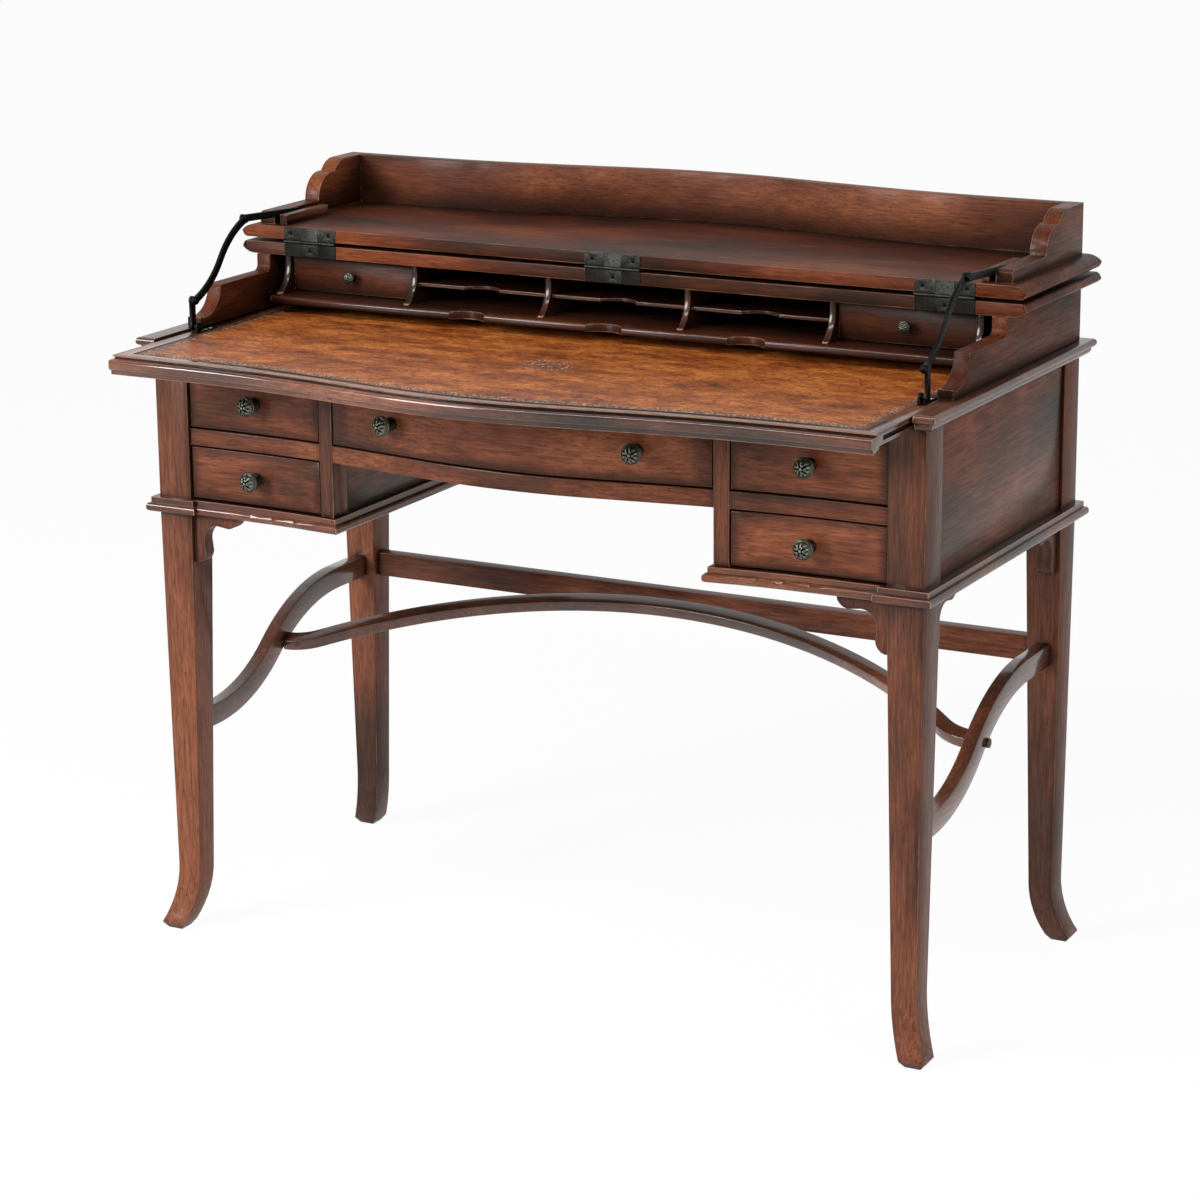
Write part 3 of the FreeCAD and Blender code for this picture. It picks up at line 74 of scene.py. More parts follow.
def feed(tree, node, inputs):
    """Gives a node its inputs: a value, a hex colour, or the output that an input is linked to."""
    for name, value in inputs.items():
        if isinstance(value, bpy.types.NodeSocket):
            tree.links.new(value, node.inputs[name])
        else:
            node.inputs[name].default_value = linear(value) if isinstance(value, str) else value


def add(tree, kind, inputs=(), stops=(), **settings):
    """Adds a node with its settings and links, and gives its outputs.

    Inputs go by name or number, or in order. Stops are the places and colours on a ramp.
    """
    node = tree.nodes.new("ShaderNode" + kind)
    for name, value in settings.items():
        setattr(node, name, value)
    for index, (place, colour) in enumerate(stops):
        elements = node.color_ramp.elements
        stop = elements[index] if index < 2 else elements.new(place)
        stop.position = place
        stop.color = linear(colour)
    feed(tree, node, inputs if isinstance(inputs, dict) else dict(enumerate(inputs)))
    return node.outputs


def new_material(name):
    """A material, its nodes and its Principled shader."""
    material = bpy.data.materials.new(name)
    material.use_nodes = True
    return material, material.node_tree, material.node_tree.nodes["Principled BSDF"]


print("A mid grey of #808080 is", round(linear("#808080")[0], 3), "in linear light")

# %% [markdown]
# ## Mahogany, stained and rubbed
# The case is mahogany, stained red-brown, glazed dark and polished by hand. The eye sees three scales at
# once: cloudy patches of stain a hand wide, streaks of grain a few millimetres wide that run along each
# board, and short dark pores.
# A picture of wood could be wrapped round each board, but it would repeat, and close up it would blur. Noise
# has no seams, it can be stretched along the grain, and its scales come from real widths.

# %% Clouds, streaks and pores
STREAK_WIDTH = 3 * MM
CLOUD_WIDTH = 110 * MM
PORE_WIDTH = 1.3 * MM  # real pores are 0.3 mm wide; drawn coarser so that they show
GRAIN_STRETCH = 16
PATCH_SQUEEZE = 0.35  # clouds of stain are about three times as long along the grain
GRAIN_SHARE = 0.85
PORE_SHARE = 0.6
UPRIGHT = 2
STAIN = ((0.33, "#36291c"), (0.5, "#744129"), (0.67, "#a0613e"))
UPRIGHT_STAIN = ((0.33, "#513527"), (0.5, "#74452e"), (0.67, "#8c553a"))  # legs and stiles are more even
STREAKS = ((0.26, "#625847"), (0.46, "#bea596"), (0.7, "#fff2e6"))
PORE_DARK = "#2a140b"


def figure(tree, place, axis):
    """The colour of a stained board, and its clouds, streaks and pores."""
    grain_scale = [1.0, 1.0, 1.0]
    grain_scale[axis] = 1 / GRAIN_STRETCH
    patch_scale = [1.0, 1.0, 1.0]
    patch_scale[axis] = PATCH_SQUEEZE
    along = add(tree, "Mapping", {"Vector": place, "Scale": grain_scale})["Vector"]
    cloudy = add(tree, "Mapping", {"Vector": place, "Scale": patch_scale})["Vector"]
    clouds = add(tree, "TexNoise", {"Vector": cloudy, "Scale": 1 / CLOUD_WIDTH, "Detail": 4.0,
                                    "Roughness": 0.6})["Fac"]
    streaks = add(tree, "TexNoise", {"Vector": along, "Scale": 1 / STREAK_WIDTH, "Detail": 6.0,
                                     "Roughness": 0.7, "Distortion": 0.4})["Fac"]
    pores = add(tree, "TexNoise", {"Vector": along, "Scale": 1 / PORE_WIDTH, "Detail": 2.0})["Fac"]
    pores = add(tree, "MapRange", (pores, 0.58, 0.68, 0.0, PORE_SHARE), **SMOOTH)["Result"]
    stain = add(tree, "ValToRGB", [clouds], UPRIGHT_STAIN if axis == UPRIGHT else STAIN)["Color"]
    grain = add(tree, "ValToRGB", [streaks], STREAKS)["Color"]
    colour = add(tree, "Mix", {0: GRAIN_SHARE, 6: stain, 7: grain}, blend_type="MULTIPLY", **COLOURS)[2]
    colour = add(tree, "Mix", {0: pores, 6: colour, 7: PORE_DARK}, **COLOURS)[2]
    return colour, clouds, streaks, pores


print("Streaks", round(STREAK_WIDTH / MM), "mm wide and", round(STREAK_WIDTH * GRAIN_STRETCH / MM), "mm long")

# %% [markdown]
# ## Glaze, painted shade and wear
# A dark glaze is wiped over the stain and rubbed off again. It stays beside edges, where the rag did not
# reach. Corners are darker too, partly from glaze and partly as painted shade, and in the upper case this
# painted shade reaches far into the recesses. The sharp edges themselves are pale, partly from wear and
# partly as a painted highlight. On a drawer front it darkens towards all four edges. It could be painted by
# hand on each board, but ambient occlusion finds the same places by itself: outwards it is dark in corners,
# and inwards it is dark along sharp edges. The clouds and streaks are added to it, so that glaze, shade and
# wear have ragged borders.

# %% Glaze and painted shade, pale edges with painted highlight, and darker rims
EDGE_GLAZE = 7 * MM
EDGE_WEAR_AND_HIGHLIGHT = 2.2 * MM
CORNER_GLAZE_AND_SHADE_SHARE = 0.85
WEAR_AND_HIGHLIGHT_SHARE = 0.65
# dark glaze and painted shade in corners and recesses
CORNER_GLAZE_AND_SHADE = "#160a06"
EDGE_DARK = "#1c0d07"
RIM_DARK = "#20100a"
# pale sharp edges: partly wear, partly a painted highlight
WORN_AND_HIGHLIGHT_PALE = "#a9795a"
RIM_REACH = {"X": 0.09, "Z": 0.22}  # shares of a drawer front's width and height
AO_SAMPLES = 8
INWARD = {"samples": AO_SAMPLES, "inside": True, "only_local": True}


def glazed(tree, colour, clouds, streaks, edge_dark, corner_shade_reach):
    """Glaze and painted shade in corners, glaze by edges, and pale wear with painted highlight on the edges.
    """
    # dark glaze and painted shade in corners, found by outward occlusion
    corner_shade = add(tree, "AmbientOcclusion", {"Distance": corner_shade_reach}, samples=AO_SAMPLES)["AO"]
    corner_shade = add(tree, "MapRange", (corner_shade, 0.95, 0.4, 0.0, CORNER_GLAZE_AND_SHADE_SHARE), **SMOOTH)["Result"]
    colour = add(tree, "Mix", {0: corner_shade, 6: colour, 7: CORNER_GLAZE_AND_SHADE}, **COLOURS)[2]
    edge = add(tree, "AmbientOcclusion", {"Distance": EDGE_GLAZE}, **INWARD)["AO"]
    edge = add(tree, "Math", (edge, clouds), operation="ADD")["Value"]
    edge = add(tree, "MapRange", (edge, 1.45, 0.95, 0.0, edge_dark), **SMOOTH)["Result"]
    colour = add(tree, "Mix", {0: edge, 6: colour, 7: EDGE_DARK}, **COLOURS)[2]
    # pale sharp edges: partly wear, partly a painted highlight
    wear_and_highlight = add(tree, "AmbientOcclusion", {"Distance": EDGE_WEAR_AND_HIGHLIGHT}, **INWARD)["AO"]
    wear_and_highlight = add(tree, "Math", (wear_and_highlight, streaks), operation="ADD")["Value"]
    wear_and_highlight = add(tree, "MapRange", (wear_and_highlight, 1.35, 0.95, 0.0, WEAR_AND_HIGHLIGHT_SHARE), **SMOOTH)["Result"]
    return add(tree, "Mix", {0: wear_and_highlight, 6: colour, 7: WORN_AND_HIGHLIGHT_PALE}, **COLOURS)[2]


def rimmed(tree, colour, clouds, spot, rim_dark):
    """A drawer front's colour, darker towards its four edges."""
    box = add(tree, "SeparateXYZ", [spot["Generated"]])
    sides = []
    for across, reach in RIM_REACH.items():
        fold = add(tree, "Math", (box[across], 0.5), operation="PINGPONG")["Value"]
        sides.append(add(tree, "MapRange", (fold, reach, 0.0, 0.0, 1.0), **SMOOTH)["Result"])
    rim = add(tree, "Math", sides, operation="MAXIMUM")["Value"]
    rim = add(tree, "Math", (rim, clouds), operation="ADD")["Value"]
    rim = add(tree, "MapRange", (rim, 0.5, 1.4, 0.0, rim_dark), **SMOOTH)["Result"]
    return add(tree, "Mix", {0: rim, 6: colour, 7: RIM_DARK}, **COLOURS)[2]


print("Glaze reaches", round(EDGE_GLAZE / MM), "mm in from an edge, and wear", round(EDGE_WEAR_AND_HIGHLIGHT / MM, 1), "mm")

# %% [markdown]
# ## One recipe, several finishes
# Grain follows the length of each board, so the recipe is made once for each direction. Its finishes are
# plain stained boards, rubbed mouldings, the bright polish of the slide and the curved stretchers, drawer
# fronts with darker rims, the gallery with more painted shade in its corner, and the upper case, darker
# still and with painted shade reaching deep into its recesses under the lid, with shelves whose nosings
# shine. Each board also starts its pattern at its own place and takes its own tone, as boards of one tree
# do. Polish is a clear coat over the stain, and its gloss comes from that.

# %% The wood's finishes
GRAIN_DEPTH = 0.3 * MM
TONE_SPREAD = 0.1
WOOD_FINISHES = {
    # polish, brightness, hue, richness, darkness along edges and round a front, reach of glaze and painted
    # shade into corners
    "stained": (0.2, 0.87, 0.501, 0.97, 0.65, 0.0, 12 * MM),
    "rubbed": (0.7, 0.64, 0.501, 0.97, 0.45, 0.0, 14 * MM),
    "polished": (1.0, 0.84, 0.502, 0.93, 0.45, 0.0, 14 * MM),
    "glazed": (0.15, 1.1, 0.501, 0.97, 0.65, 0.55, 10 * MM),
    # shaded, deep and nosed reach far into corners: painted shade under the lid and in the upper case's
    # recesses
    "shaded": (0.06, 0.77, 0.5, 1.0, 0.65, 0.0, 70 * MM),
    "deep": (0.0, 0.6, 0.498, 1.02, 0.65, 0.0, 60 * MM),
    "nosed": (0.45, 0.44, 0.498, 1.02, 0.65, 0.0, 80 * MM),
}


def stained_mahogany(finish, axis):
    """Polished mahogany of one finish, whose grain runs along one axis."""
    polish, brightness, hue, richness, edge_dark, rim_dark, corner_shade_reach = WOOD_FINISHES[finish]
    material, tree, shader = new_material(finish + "_mahogany_" + "xyz"[axis])
    board = add(tree, "ObjectInfo")["Random"]
    spot = add(tree, "TexCoord")
    place = add(tree, "VectorMath", (spot["Object"], board))["Vector"]
    colour, clouds, streaks, pores = figure(tree, place, axis)
    darkest, palest = (1 - TONE_SPREAD) * brightness, (1 + TONE_SPREAD) * brightness
    tone = add(tree, "MapRange", (board, 0.0, 1.0, darkest, palest), **SMOOTH)["Result"]
    colour = add(tree, "HueSaturation", {"Color": colour, "Hue": hue, "Saturation": richness,
                                         "Value": tone})["Color"]
    colour = glazed(tree, colour, clouds, streaks, edge_dark, corner_shade_reach)
    if rim_dark:
        colour = rimmed(tree, colour, clouds, spot, rim_dark)
    relief = add(tree, "Math", (streaks, pores), operation="SUBTRACT")["Value"]
    feed(tree, shader, {
        "Base Color": colour,
        "Roughness": add(tree, "MapRange", (streaks, 0.25, 0.75, 0.54, 0.4), **SMOOTH)["Result"],
        "IOR": 1.5, "Specular IOR Level": 0.12, "Coat Weight": polish, "Coat Roughness": 0.15,
        "Normal": add(tree, "Bump", {"Height": relief, "Strength": 0.1, "Distance": GRAIN_DEPTH})["Normal"],
    })
    return material


GRAIN_OF = {"stained": "xyz", "rubbed": "xy", "polished": "xy", "glazed": "x", "shaded": "xy", "deep": "xy",
            "nosed": "xy"}
WOOD = {(finish, axis): stained_mahogany(finish, "xyz".index(axis))
        for finish, axes in GRAIN_OF.items() for axis in axes}
print("Wood finishes:", ", ".join(m.name for m in WOOD.values()))

# %% [markdown]
# ## Drawer linings
# Trays, runners and the dust board are planed hardwood, waxed and not stained. They show when a drawer is
# open, pale and dull beside the stained fronts. One stretched noise gives them a quiet straight grain, and
# the clouds and glaze of the stained wood are left out, because bare wood has none.

# %% The lining recipe
LINING_GRAIN = ((0.3, "#6b482e"), (0.52, "#94694a"), (0.74, "#b08763"))


def planed_lining():
    """Waxed pale hardwood with quiet grain from front to back."""
    material, tree, shader = new_material("planed_hardwood_lining")
    place = add(tree, "TexCoord")["Object"]
    along = add(tree, "Mapping", {"Vector": place, "Scale": (1, 1 / GRAIN_STRETCH, 1)})["Vector"]
    streaks = add(tree, "TexNoise", {"Vector": along, "Scale": 1 / STREAK_WIDTH, "Detail": 5.0,
                                     "Roughness": 0.65})["Fac"]
    feed(tree, shader, {
        "Base Color": add(tree, "ValToRGB", [streaks], LINING_GRAIN)["Color"],
        "Roughness": add(tree, "MapRange", (streaks, 0.2, 0.8, 0.7, 0.5), **SMOOTH)["Result"],
        "IOR": 1.48,
        "Normal": add(tree, "Bump", {"Height": streaks, "Strength": 0.2, "Distance": 0.4 * MM})["Normal"],
    })
    return material


LINING = planed_lining()
print("Lining:", LINING.name)

# %% [markdown]
# ## Iron and bronze
# Hinges are forged iron, dark grey and slightly pitted. The stays are blackened iron, almost matt. Knobs are
# cast bronze with a green-black patina that is rubbed back to metal on the high spots, which also paints
# their highlights, and a painted shade on the neck under the head. Pits and mottling could be separate
# patterns, but a pit is darker, duller and deeper at once, so one noise of about two millimetres drives
# colour, gloss and bump together.

# %% The metal recipes
PIT = 1.6 * MM
PATINA_SPOT = 2.5 * MM
RELIEF_REACH = 5 * MM
PATINA = ((0.3, "#0b0d0a"), (0.7, "#1e211a"))
# rubbed metal on the high spots, which also paints their highlight
RUBBED_BRONZE_AND_HIGHLIGHT = "#8b8e80"
HOLLOW_DARK = "#030403"
# painted shade on the neck under the head
NECK_SHADE = "#0c0705"


def pitted_iron(name, dark, pale, roughness):
    """Forged iron: mottled colour and fine pits."""
    material, tree, shader = new_material(name)
    place = add(tree, "TexCoord")["Object"]
    mottle = add(tree, "TexNoise", {"Vector": place, "Scale": 1 / PIT, "Detail": 4.0,
                                    "Roughness": 0.65})["Fac"]
    rough = (mottle, 0.2, 0.8, roughness + 0.15, roughness - 0.1)
    feed(tree, shader, {
        "Base Color": add(tree, "ValToRGB", [mottle], ((0.35, dark), (0.7, pale)))["Color"],
        "Metallic": 1.0,
        "Roughness": add(tree, "MapRange", rough, **SMOOTH)["Result"],
        "Normal": add(tree, "Bump", {"Height": mottle, "Strength": 0.12, "Distance": 0.2 * MM})["Normal"],
    })
    return material


def patinated_bronze():
    """Cast bronze: dark in its hollows, painted shade on its neck, and rubbed high spots that paint
    highlights.
    """
    material, tree, shader = new_material("patinated_bronze")
    spot = add(tree, "TexCoord")
    mottle = add(tree, "TexNoise", {"Vector": spot["Object"], "Scale": 1 / PATINA_SPOT, "Detail": 4.0})["Fac"]
    colour = add(tree, "ValToRGB", [mottle], PATINA)["Color"]
    height = add(tree, "AmbientOcclusion", {"Distance": RELIEF_REACH}, samples=AO_SAMPLES)["AO"]
    behind = add(tree, "SeparateXYZ", [spot["Generated"]])["Y"]
    # rubbed high spots, which also paint a highlight
    high_spots = (height, 0.8, 1.0, 0.0, 0.85)
    hollows = (height, 0.65, 0.35, 0.0, 1.0)
    # painted shade on the neck under the head
    neck = (behind, 0.42, 0.7, 0.0, 0.92)
    for where, shade in ((high_spots, RUBBED_BRONZE_AND_HIGHLIGHT), (hollows, HOLLOW_DARK), (neck, NECK_SHADE)):
        share = add(tree, "MapRange", where, **SMOOTH)["Result"]
        colour = add(tree, "Mix", {0: share, 6: colour, 7: shade}, **COLOURS)[2]
    feed(tree, shader, {
        "Base Color": colour,
        "Metallic": 1.0,
        "Roughness": add(tree, "MapRange", (mottle, 0.2, 0.8, 0.5, 0.36), **SMOOTH)["Result"],
        "Normal": add(tree, "Bump", {"Height": mottle, "Strength": 0.25, "Distance": 0.2 * MM})["Normal"],
    })
    return material


HINGE_IRON = pitted_iron("forged_iron", "#242523", "#3e3f3a", 0.52)  # dark grey, with a dull gleam
STAY_IRON = pitted_iron("blackened_iron", "#0b0b0b", "#262625", 0.5)  # a black line against the wood
SCREW_STEEL = pitted_iron("turned_steel", "#6f6f68", "#b9b8b0", 0.32)  # bright heads on black plates
BRONZE = patinated_bronze()
print("Metals:", ", ".join(m.name for m in (HINGE_IRON, STAY_IRON, SCREW_STEEL, BRONZE)))

# %% [markdown]
# ## Which finish each piece gets
# Each solid keeps its shape and gets the finish of its piece. A joiner cuts boards with the grain along their
# length, since wood is strong that way, so grain runs up the legs, back along the sides, and across
# everywhere else. Finishes could be assigned one by one, but most names say what they are, so a few words
# sort them all.

# %% The finish of each node
ALONG_Y = ("side_panels", "kneehole_panels", "side_stretchers", "waist_rails", "case_sides", "dividers",
           "gallery_sides", "stay_strips")
ALONG_Z = ("legs", "front_stiles", "apron_brackets")
LININGS = ("tray", "runners", "dust_board")
METALS = {"hinge": HINGE_IRON, "stay_plates": STAY_IRON, "stay_links": STAY_IRON, "stay_bars": STAY_IRON,
          "lid_arms": STAY_IRON, "knob": BRONZE}
MOULDED = ("pedestal_bases", "waist_rails", "waist_rail_back")
FINISHES = {
    "rubbed": MOULDED,
    "polished": ("slide_board", "hoop_stretcher", "side_stretchers"),
    "shaded": ("gallery_back", "gallery_sides"),
    "deep": ("case_sides", "case_back", "small_front_left", "small_front_right", "lid_panel", "fixed_top"),
    "nosed": ("unit_base", "dividers", "shelves"),
}


def finish_of(name):
    """The material of a node's piece."""
    for word, material in METALS.items():
        if word in name:
            return material
    if any(word in name for word in LININGS):
        return LINING
    finish = "glazed" if name.startswith("drawer_front") else "stained"
    for special, names in FINISHES.items():
        if name in names:
            finish = special
    return WOOD[finish, "y" if name in ALONG_Y else "z" if name in ALONG_Z else "x"]


for name, piece in nodes.items():
    piece.data.materials.clear()
    piece.data.materials.append(finish_of(name))
print("Finished", len(nodes), "nodes")

# %% [markdown]
# ## Softened edges
# No real edge is perfectly sharp. A weld joins the loose corners that the import leaves, and a bevel of about
# a millimetre gives each edge the soft line that sanding gives, so that it catches the light. The rounding
# could be cut into the solids, but as a modifier it is easy to change. The long mouldings of waist and bases
# stay as crisp as the plane left them: their sharp edges are split, and their rounds are only shaded smooth.

# %% Weld and bevel for each node
BEVEL_ANGLE = math.radians(52)
SPLIT_ANGLE = math.radians(35)
SOFT_EDGE = 1.2 * MM
METAL_EDGE = 0.4 * MM
CRISP_EDGE = 0.5 * MM
LOOSE_CORNER = 0.01 * MM
CRISP = ("slide_board", "lid_panel", "fixed_top", "unit_base", "shelves", "legs")


def edge_of(name, material):
    """How wide a node's edges are rounded."""
    if material in METALS.values():
        return METAL_EDGE
    if name in MOULDED:
        return 0
    return CRISP_EDGE if name in CRISP else SOFT_EDGE


def soften(piece, width):
    """Welds a piece's loose corners and rounds its edges, or keeps them sharp where the width is 0."""
    weld = piece.modifiers.new("weld", "WELD")
    weld.merge_threshold = LOOSE_CORNER
    if width:
        bevel = piece.modifiers.new("bevel", "BEVEL")
        bevel.width = width
        bevel.segments = 3
        bevel.limit_method = "ANGLE"
        bevel.angle_limit = BEVEL_ANGLE
        bevel.harden_normals = True
    else:
        split = piece.modifiers.new("split", "EDGE_SPLIT")
        split.split_angle = SPLIT_ANGLE
    for polygon in piece.data.polygons:
        polygon.use_smooth = True


for name, piece in nodes.items():
    soften(piece, edge_of(name, piece.data.materials[0]))
print("Softened", sum("bevel" in piece.modifiers for piece in nodes.values()), "of", len(nodes), "nodes")

# %% [markdown]
# ## Making pieces of our own
# What is too fine for the solids is made here: leather, tooling, knobs and screws. A piece is a list of
# points and faces. Most are a lattice, which is rows of points that are joined to the next row. A sheet, a
# tube and a turned knob are all lattices, open or closed round, so one helper serves for all.

# %% Helpers for meshes
def lattice(rows, closed=False):
    """The points and faces of rows of points, each joined to the next row."""
    width = len(rows[0])
    faces = []
    for row in range(len(rows) - 1):
        for column in range(width if closed else width - 1):
            there = (column + 1) % width
            first = row * width
            faces.append((first + column, first + there, first + width + there, first + width + column))
    return [point for row in rows for point in row], faces


def gather(parts):
    """Several lists of points and faces as one."""
    points = []
    faces = []
    for some_points, some_faces in parts:
        start = len(points)
        points.extend(some_points)
        faces.extend(tuple(start + index for index in face) for face in some_faces)
    return points, faces


def make_piece(name, points, faces, material, body, slot, *stands_for):
    """A smooth mesh piece that rides on a body and stands for some nodes."""
    mesh = bpy.data.meshes.new(name)
    mesh.from_pydata(points, [], faces)
    mesh.validate()
    for polygon in mesh.polygons:
        polygon.use_smooth = True
    mesh.materials.append(material)
    piece = bpy.data.objects.new(name, mesh)
    bpy.context.scene.collection.objects.link(piece)
    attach(piece, body)
    if stands_for:
        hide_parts(*stands_for)
    return piece


print("A lattice of 2 rows of 3 points has", len(lattice([[0] * 3] * 2)[1]), "faces")

# %% [markdown]
# ## The serpentine line
# Drawer fronts, slide and lid share one line in plan: an arc in the middle, straight slopes beside it, and
# hollow arcs that end level near the posts. It could be traced by a spline, but a joiner lays it out from
# arcs, and arcs give its stand and its turn at any x, which the pieces that follow it need.

# %% The line that the front follows
SWELL_RADIUS = 700 * MM
SWELL_ANGLE = math.radians(9)
FLANK_RADIUS = 1250 * MM
FLANK_END = 410 * MM
SWELL_RUN = SWELL_RADIUS * math.sin(SWELL_ANGLE)
SLOPE_END = FLANK_END - FLANK_RADIUS * math.sin(SWELL_ANGLE)
FLANK_RISE = FLANK_RADIUS * (1 - math.cos(SWELL_ANGLE))
SLOPE_RISE = (SLOPE_END - SWELL_RUN) * math.tan(SWELL_ANGLE)


def swell(x):
    """How far the serpentine stands out at x from its level ends."""
    away = abs(x)
    if away >= FLANK_END:
        return 0.0
    if away > SLOPE_END:
        return FLANK_RADIUS - math.sqrt(FLANK_RADIUS ** 2 - (FLANK_END - away) ** 2)
    if away > SWELL_RUN:
        return FLANK_RISE + (SLOPE_END - away) * math.tan(SWELL_ANGLE)
    drop = SWELL_RADIUS * math.cos(SWELL_ANGLE)
    return FLANK_RISE + SLOPE_RISE + math.sqrt(SWELL_RADIUS ** 2 - away ** 2) - drop


def lean(x):
    """How far the serpentine's face turns from the front at x."""
    away = abs(x)
    if away >= FLANK_END:
        return 0.0
    turn = SWELL_ANGLE
    if away > SLOPE_END:
        turn = math.asin((FLANK_END - away) / FLANK_RADIUS)
    elif away < SWELL_RUN:
        turn = math.asin(away / SWELL_RADIUS)
    return math.copysign(turn, x)


print("The serpentine stands out", round(swell(0) / MM, 1), "mm in the middle")

# %% [markdown]
# ## The writing leather's finish
# The inset is cowhide, aniline-dyed a cognac brown, waxed and mottled by hand. The eye sees warm brown clouds
# drawn out along the desk, small dark flecks, and a darker margin along its edges. Noise makes clouds and
# flecks. The edges of small cells make the grain of the hide, because hide creases into cells. The margin
# needs the distance from the leather's edge, which the sheet will store at each of its points.

# %% The leather's finish
HIDE_CLOUD = 26 * MM
FLECK = 4 * MM
HIDE_GRAIN = 1.4 * MM  # hide grain is about 0.6 mm; drawn coarser so that it shows
CLOUD_SQUEEZE = 0.5  # clouds are twice as long along the desk
DYE = ((0.34, "#4f240d"), (0.48, "#8f4a1b"), (0.65, "#bf7434"))
FLECK_DARK = "#45200b"
MARGIN_DARK = "#341a0c"


def dyed_leather():
    """Cognac leather: clouded, flecked and darker at its margin."""
    material, tree, shader = new_material("aniline_dyed_leather")
    place = add(tree, "TexCoord")["Object"]
    along = add(tree, "Mapping", {"Vector": place, "Scale": (CLOUD_SQUEEZE, 1.0, 1.0)})["Vector"]
    clouds = add(tree, "TexNoise", {"Vector": along, "Scale": 1 / HIDE_CLOUD, "Detail": 8.0,
                                    "Roughness": 0.75})["Fac"]
    flecks = add(tree, "TexNoise", {"Vector": along, "Scale": 1 / FLECK, "Detail": 4.0,
                                    "Roughness": 0.7})["Fac"]
    hide = add(tree, "TexVoronoi", {"Vector": place, "Scale": 1 / HIDE_GRAIN}, feature="DISTANCE_TO_EDGE")
    colour = add(tree, "ValToRGB", [clouds], DYE)["Color"]
    fleck = add(tree, "MapRange", (flecks, 0.5, 0.64, 0.0, 0.75), **SMOOTH)["Result"]
    colour = add(tree, "Mix", {0: fleck, 6: colour, 7: FLECK_DARK}, **COLOURS)[2]
    rim = add(tree, "Attribute", attribute_name="from_edge")["Fac"]
    rim = add(tree, "Math", (rim, clouds), operation="ADD")["Value"]
    rim = add(tree, "MapRange", (rim, 1.3, 0.6, 0.0, 0.8), **SMOOTH)["Result"]
    grain = add(tree, "MapRange", (hide["Distance"], 0.0, 0.25, 0.0, 1.0), **SMOOTH)["Result"]
    feed(tree, shader, {
        "Base Color": add(tree, "Mix", {0: rim, 6: colour, 7: MARGIN_DARK}, **COLOURS)[2],
        "Roughness": add(tree, "MapRange", (flecks, 0.3, 0.7, 0.36, 0.5), **SMOOTH)["Result"],
        "IOR": 1.46, "Specular IOR Level": 0.25,
        "Normal": add(tree, "Bump", {"Height": grain, "Strength": 0.22, "Distance": 0.15 * MM})["Normal"],
    })
    return material


LEATHER = dyed_leather()
print("Leather:", LEATHER.name)

# %% [markdown]
# ## The leather's sheet
# The leather is glued into its bed and follows the serpentine at its front. A lattice whose rim turns down a
# little reads as leather laid in its bed, and rows that crowd towards the edges give that rim its round.

# %% The leather's sheet
leather_low, leather_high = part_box("writing_leather")
SIDE = leather_high.x
LEATHER_FRONT = leather_low.y + swell(0)
RIM_ROUND = 3 * MM
RIM_DROP = 0.5 * MM
MARGIN = 18 * MM
HIDE_THICK = 1 * MM
SHEET_ROWS = 60
SHEET_COLUMNS = 120


def from_edge(x, y):
    """How far a point of the leather lies from its nearest edge."""
    return min(SIDE - abs(x), y - LEATHER_FRONT + swell(x), leather_high.y - y)


def spread(count):
    """Steps from 0 to 1 that are close together at both ends."""
    return [0.5 - 0.5 * math.cos(math.pi * step / count) for step in range(count + 1)]


rows = []
for v in spread(SHEET_ROWS):
    row = []
    for u in spread(SHEET_COLUMNS):
        x = SIDE * (2 * u - 1)
        front = LEATHER_FRONT - swell(x)
        y = front + (leather_high.y - front) * v
        near = max(0.0, 1 - from_edge(x, y) / RIM_ROUND)
        row.append((x, y, leather_high.z - RIM_DROP * near * near))
    rows.append(row)
sheet = make_piece("leather_inset", *lattice(rows), LEATHER, "slide", "leather", "writing_leather")
edges = sheet.data.attributes.new("from_edge", "FLOAT", "POINT")
for vertex, value in zip(sheet.data.vertices, edges.data):
    value.value = min(1.0, max(0.0, from_edge(vertex.co.x, vertex.co.y) / MARGIN))
hide = sheet.modifiers.new("hide", "SOLIDIFY")
hide.thickness = HIDE_THICK
hide.offset = -1
print("Leather", round(2 * SIDE / MM), "by", round((leather_high.y - leather_low.y) / MM), "mm")

# %% [markdown]
# ## Tooling
# A bookbinder's wheel presses a running border into the leather, and a hand stamp a rosette in its middle.
# Both are dark where the hot brass burned the leather, with pale spots that are painted glints of the
# pressed relief. One noise of a few millimetres mixes the two.

# %% The tooling's finish
BURN_AND_GLINT_SPOT = 3 * MM
# near black burn, with pale stops that paint glints of the pressed relief
BURN_AND_GLINT = ((0.4, "#1a100a"), (0.5, "#54453a"), (0.62, "#ab9d8b"))


def stamped_leather():
    """Burned leather: near black, with pale spots of painted glint."""
    material, tree, shader = new_material("stamped_leather")
    place = add(tree, "TexCoord")["Object"]
    # this noise mixes the burn with pale spots of painted glint
    wear = add(tree, "TexNoise", {"Vector": place, "Scale": 1 / BURN_AND_GLINT_SPOT, "Detail": 3.0})["Fac"]
    feed(tree, shader, {
        "Base Color": add(tree, "ValToRGB", [wear], BURN_AND_GLINT)["Color"],
        "Roughness": add(tree, "MapRange", (wear, 0.3, 0.7, 0.5, 0.3), **SMOOTH)["Result"],
        "IOR": 1.46,
        "Normal": add(tree, "Bump", {"Height": wear, "Strength": 0.3, "Distance": 0.1 * MM})["Normal"],
    })
    return material


STAMPED = stamped_leather()
print("Tooling:", STAMPED.name)

# %% [markdown]
# ## The border and the rosette
# Each mark is a small pointed leaf with a ridge. The border is a row of leaves that lean to and fro along the
# leather's edge, and the rosette is three rings of them. The marks could be drawn in the leather's material,
# but as small meshes they keep their shape in any light.

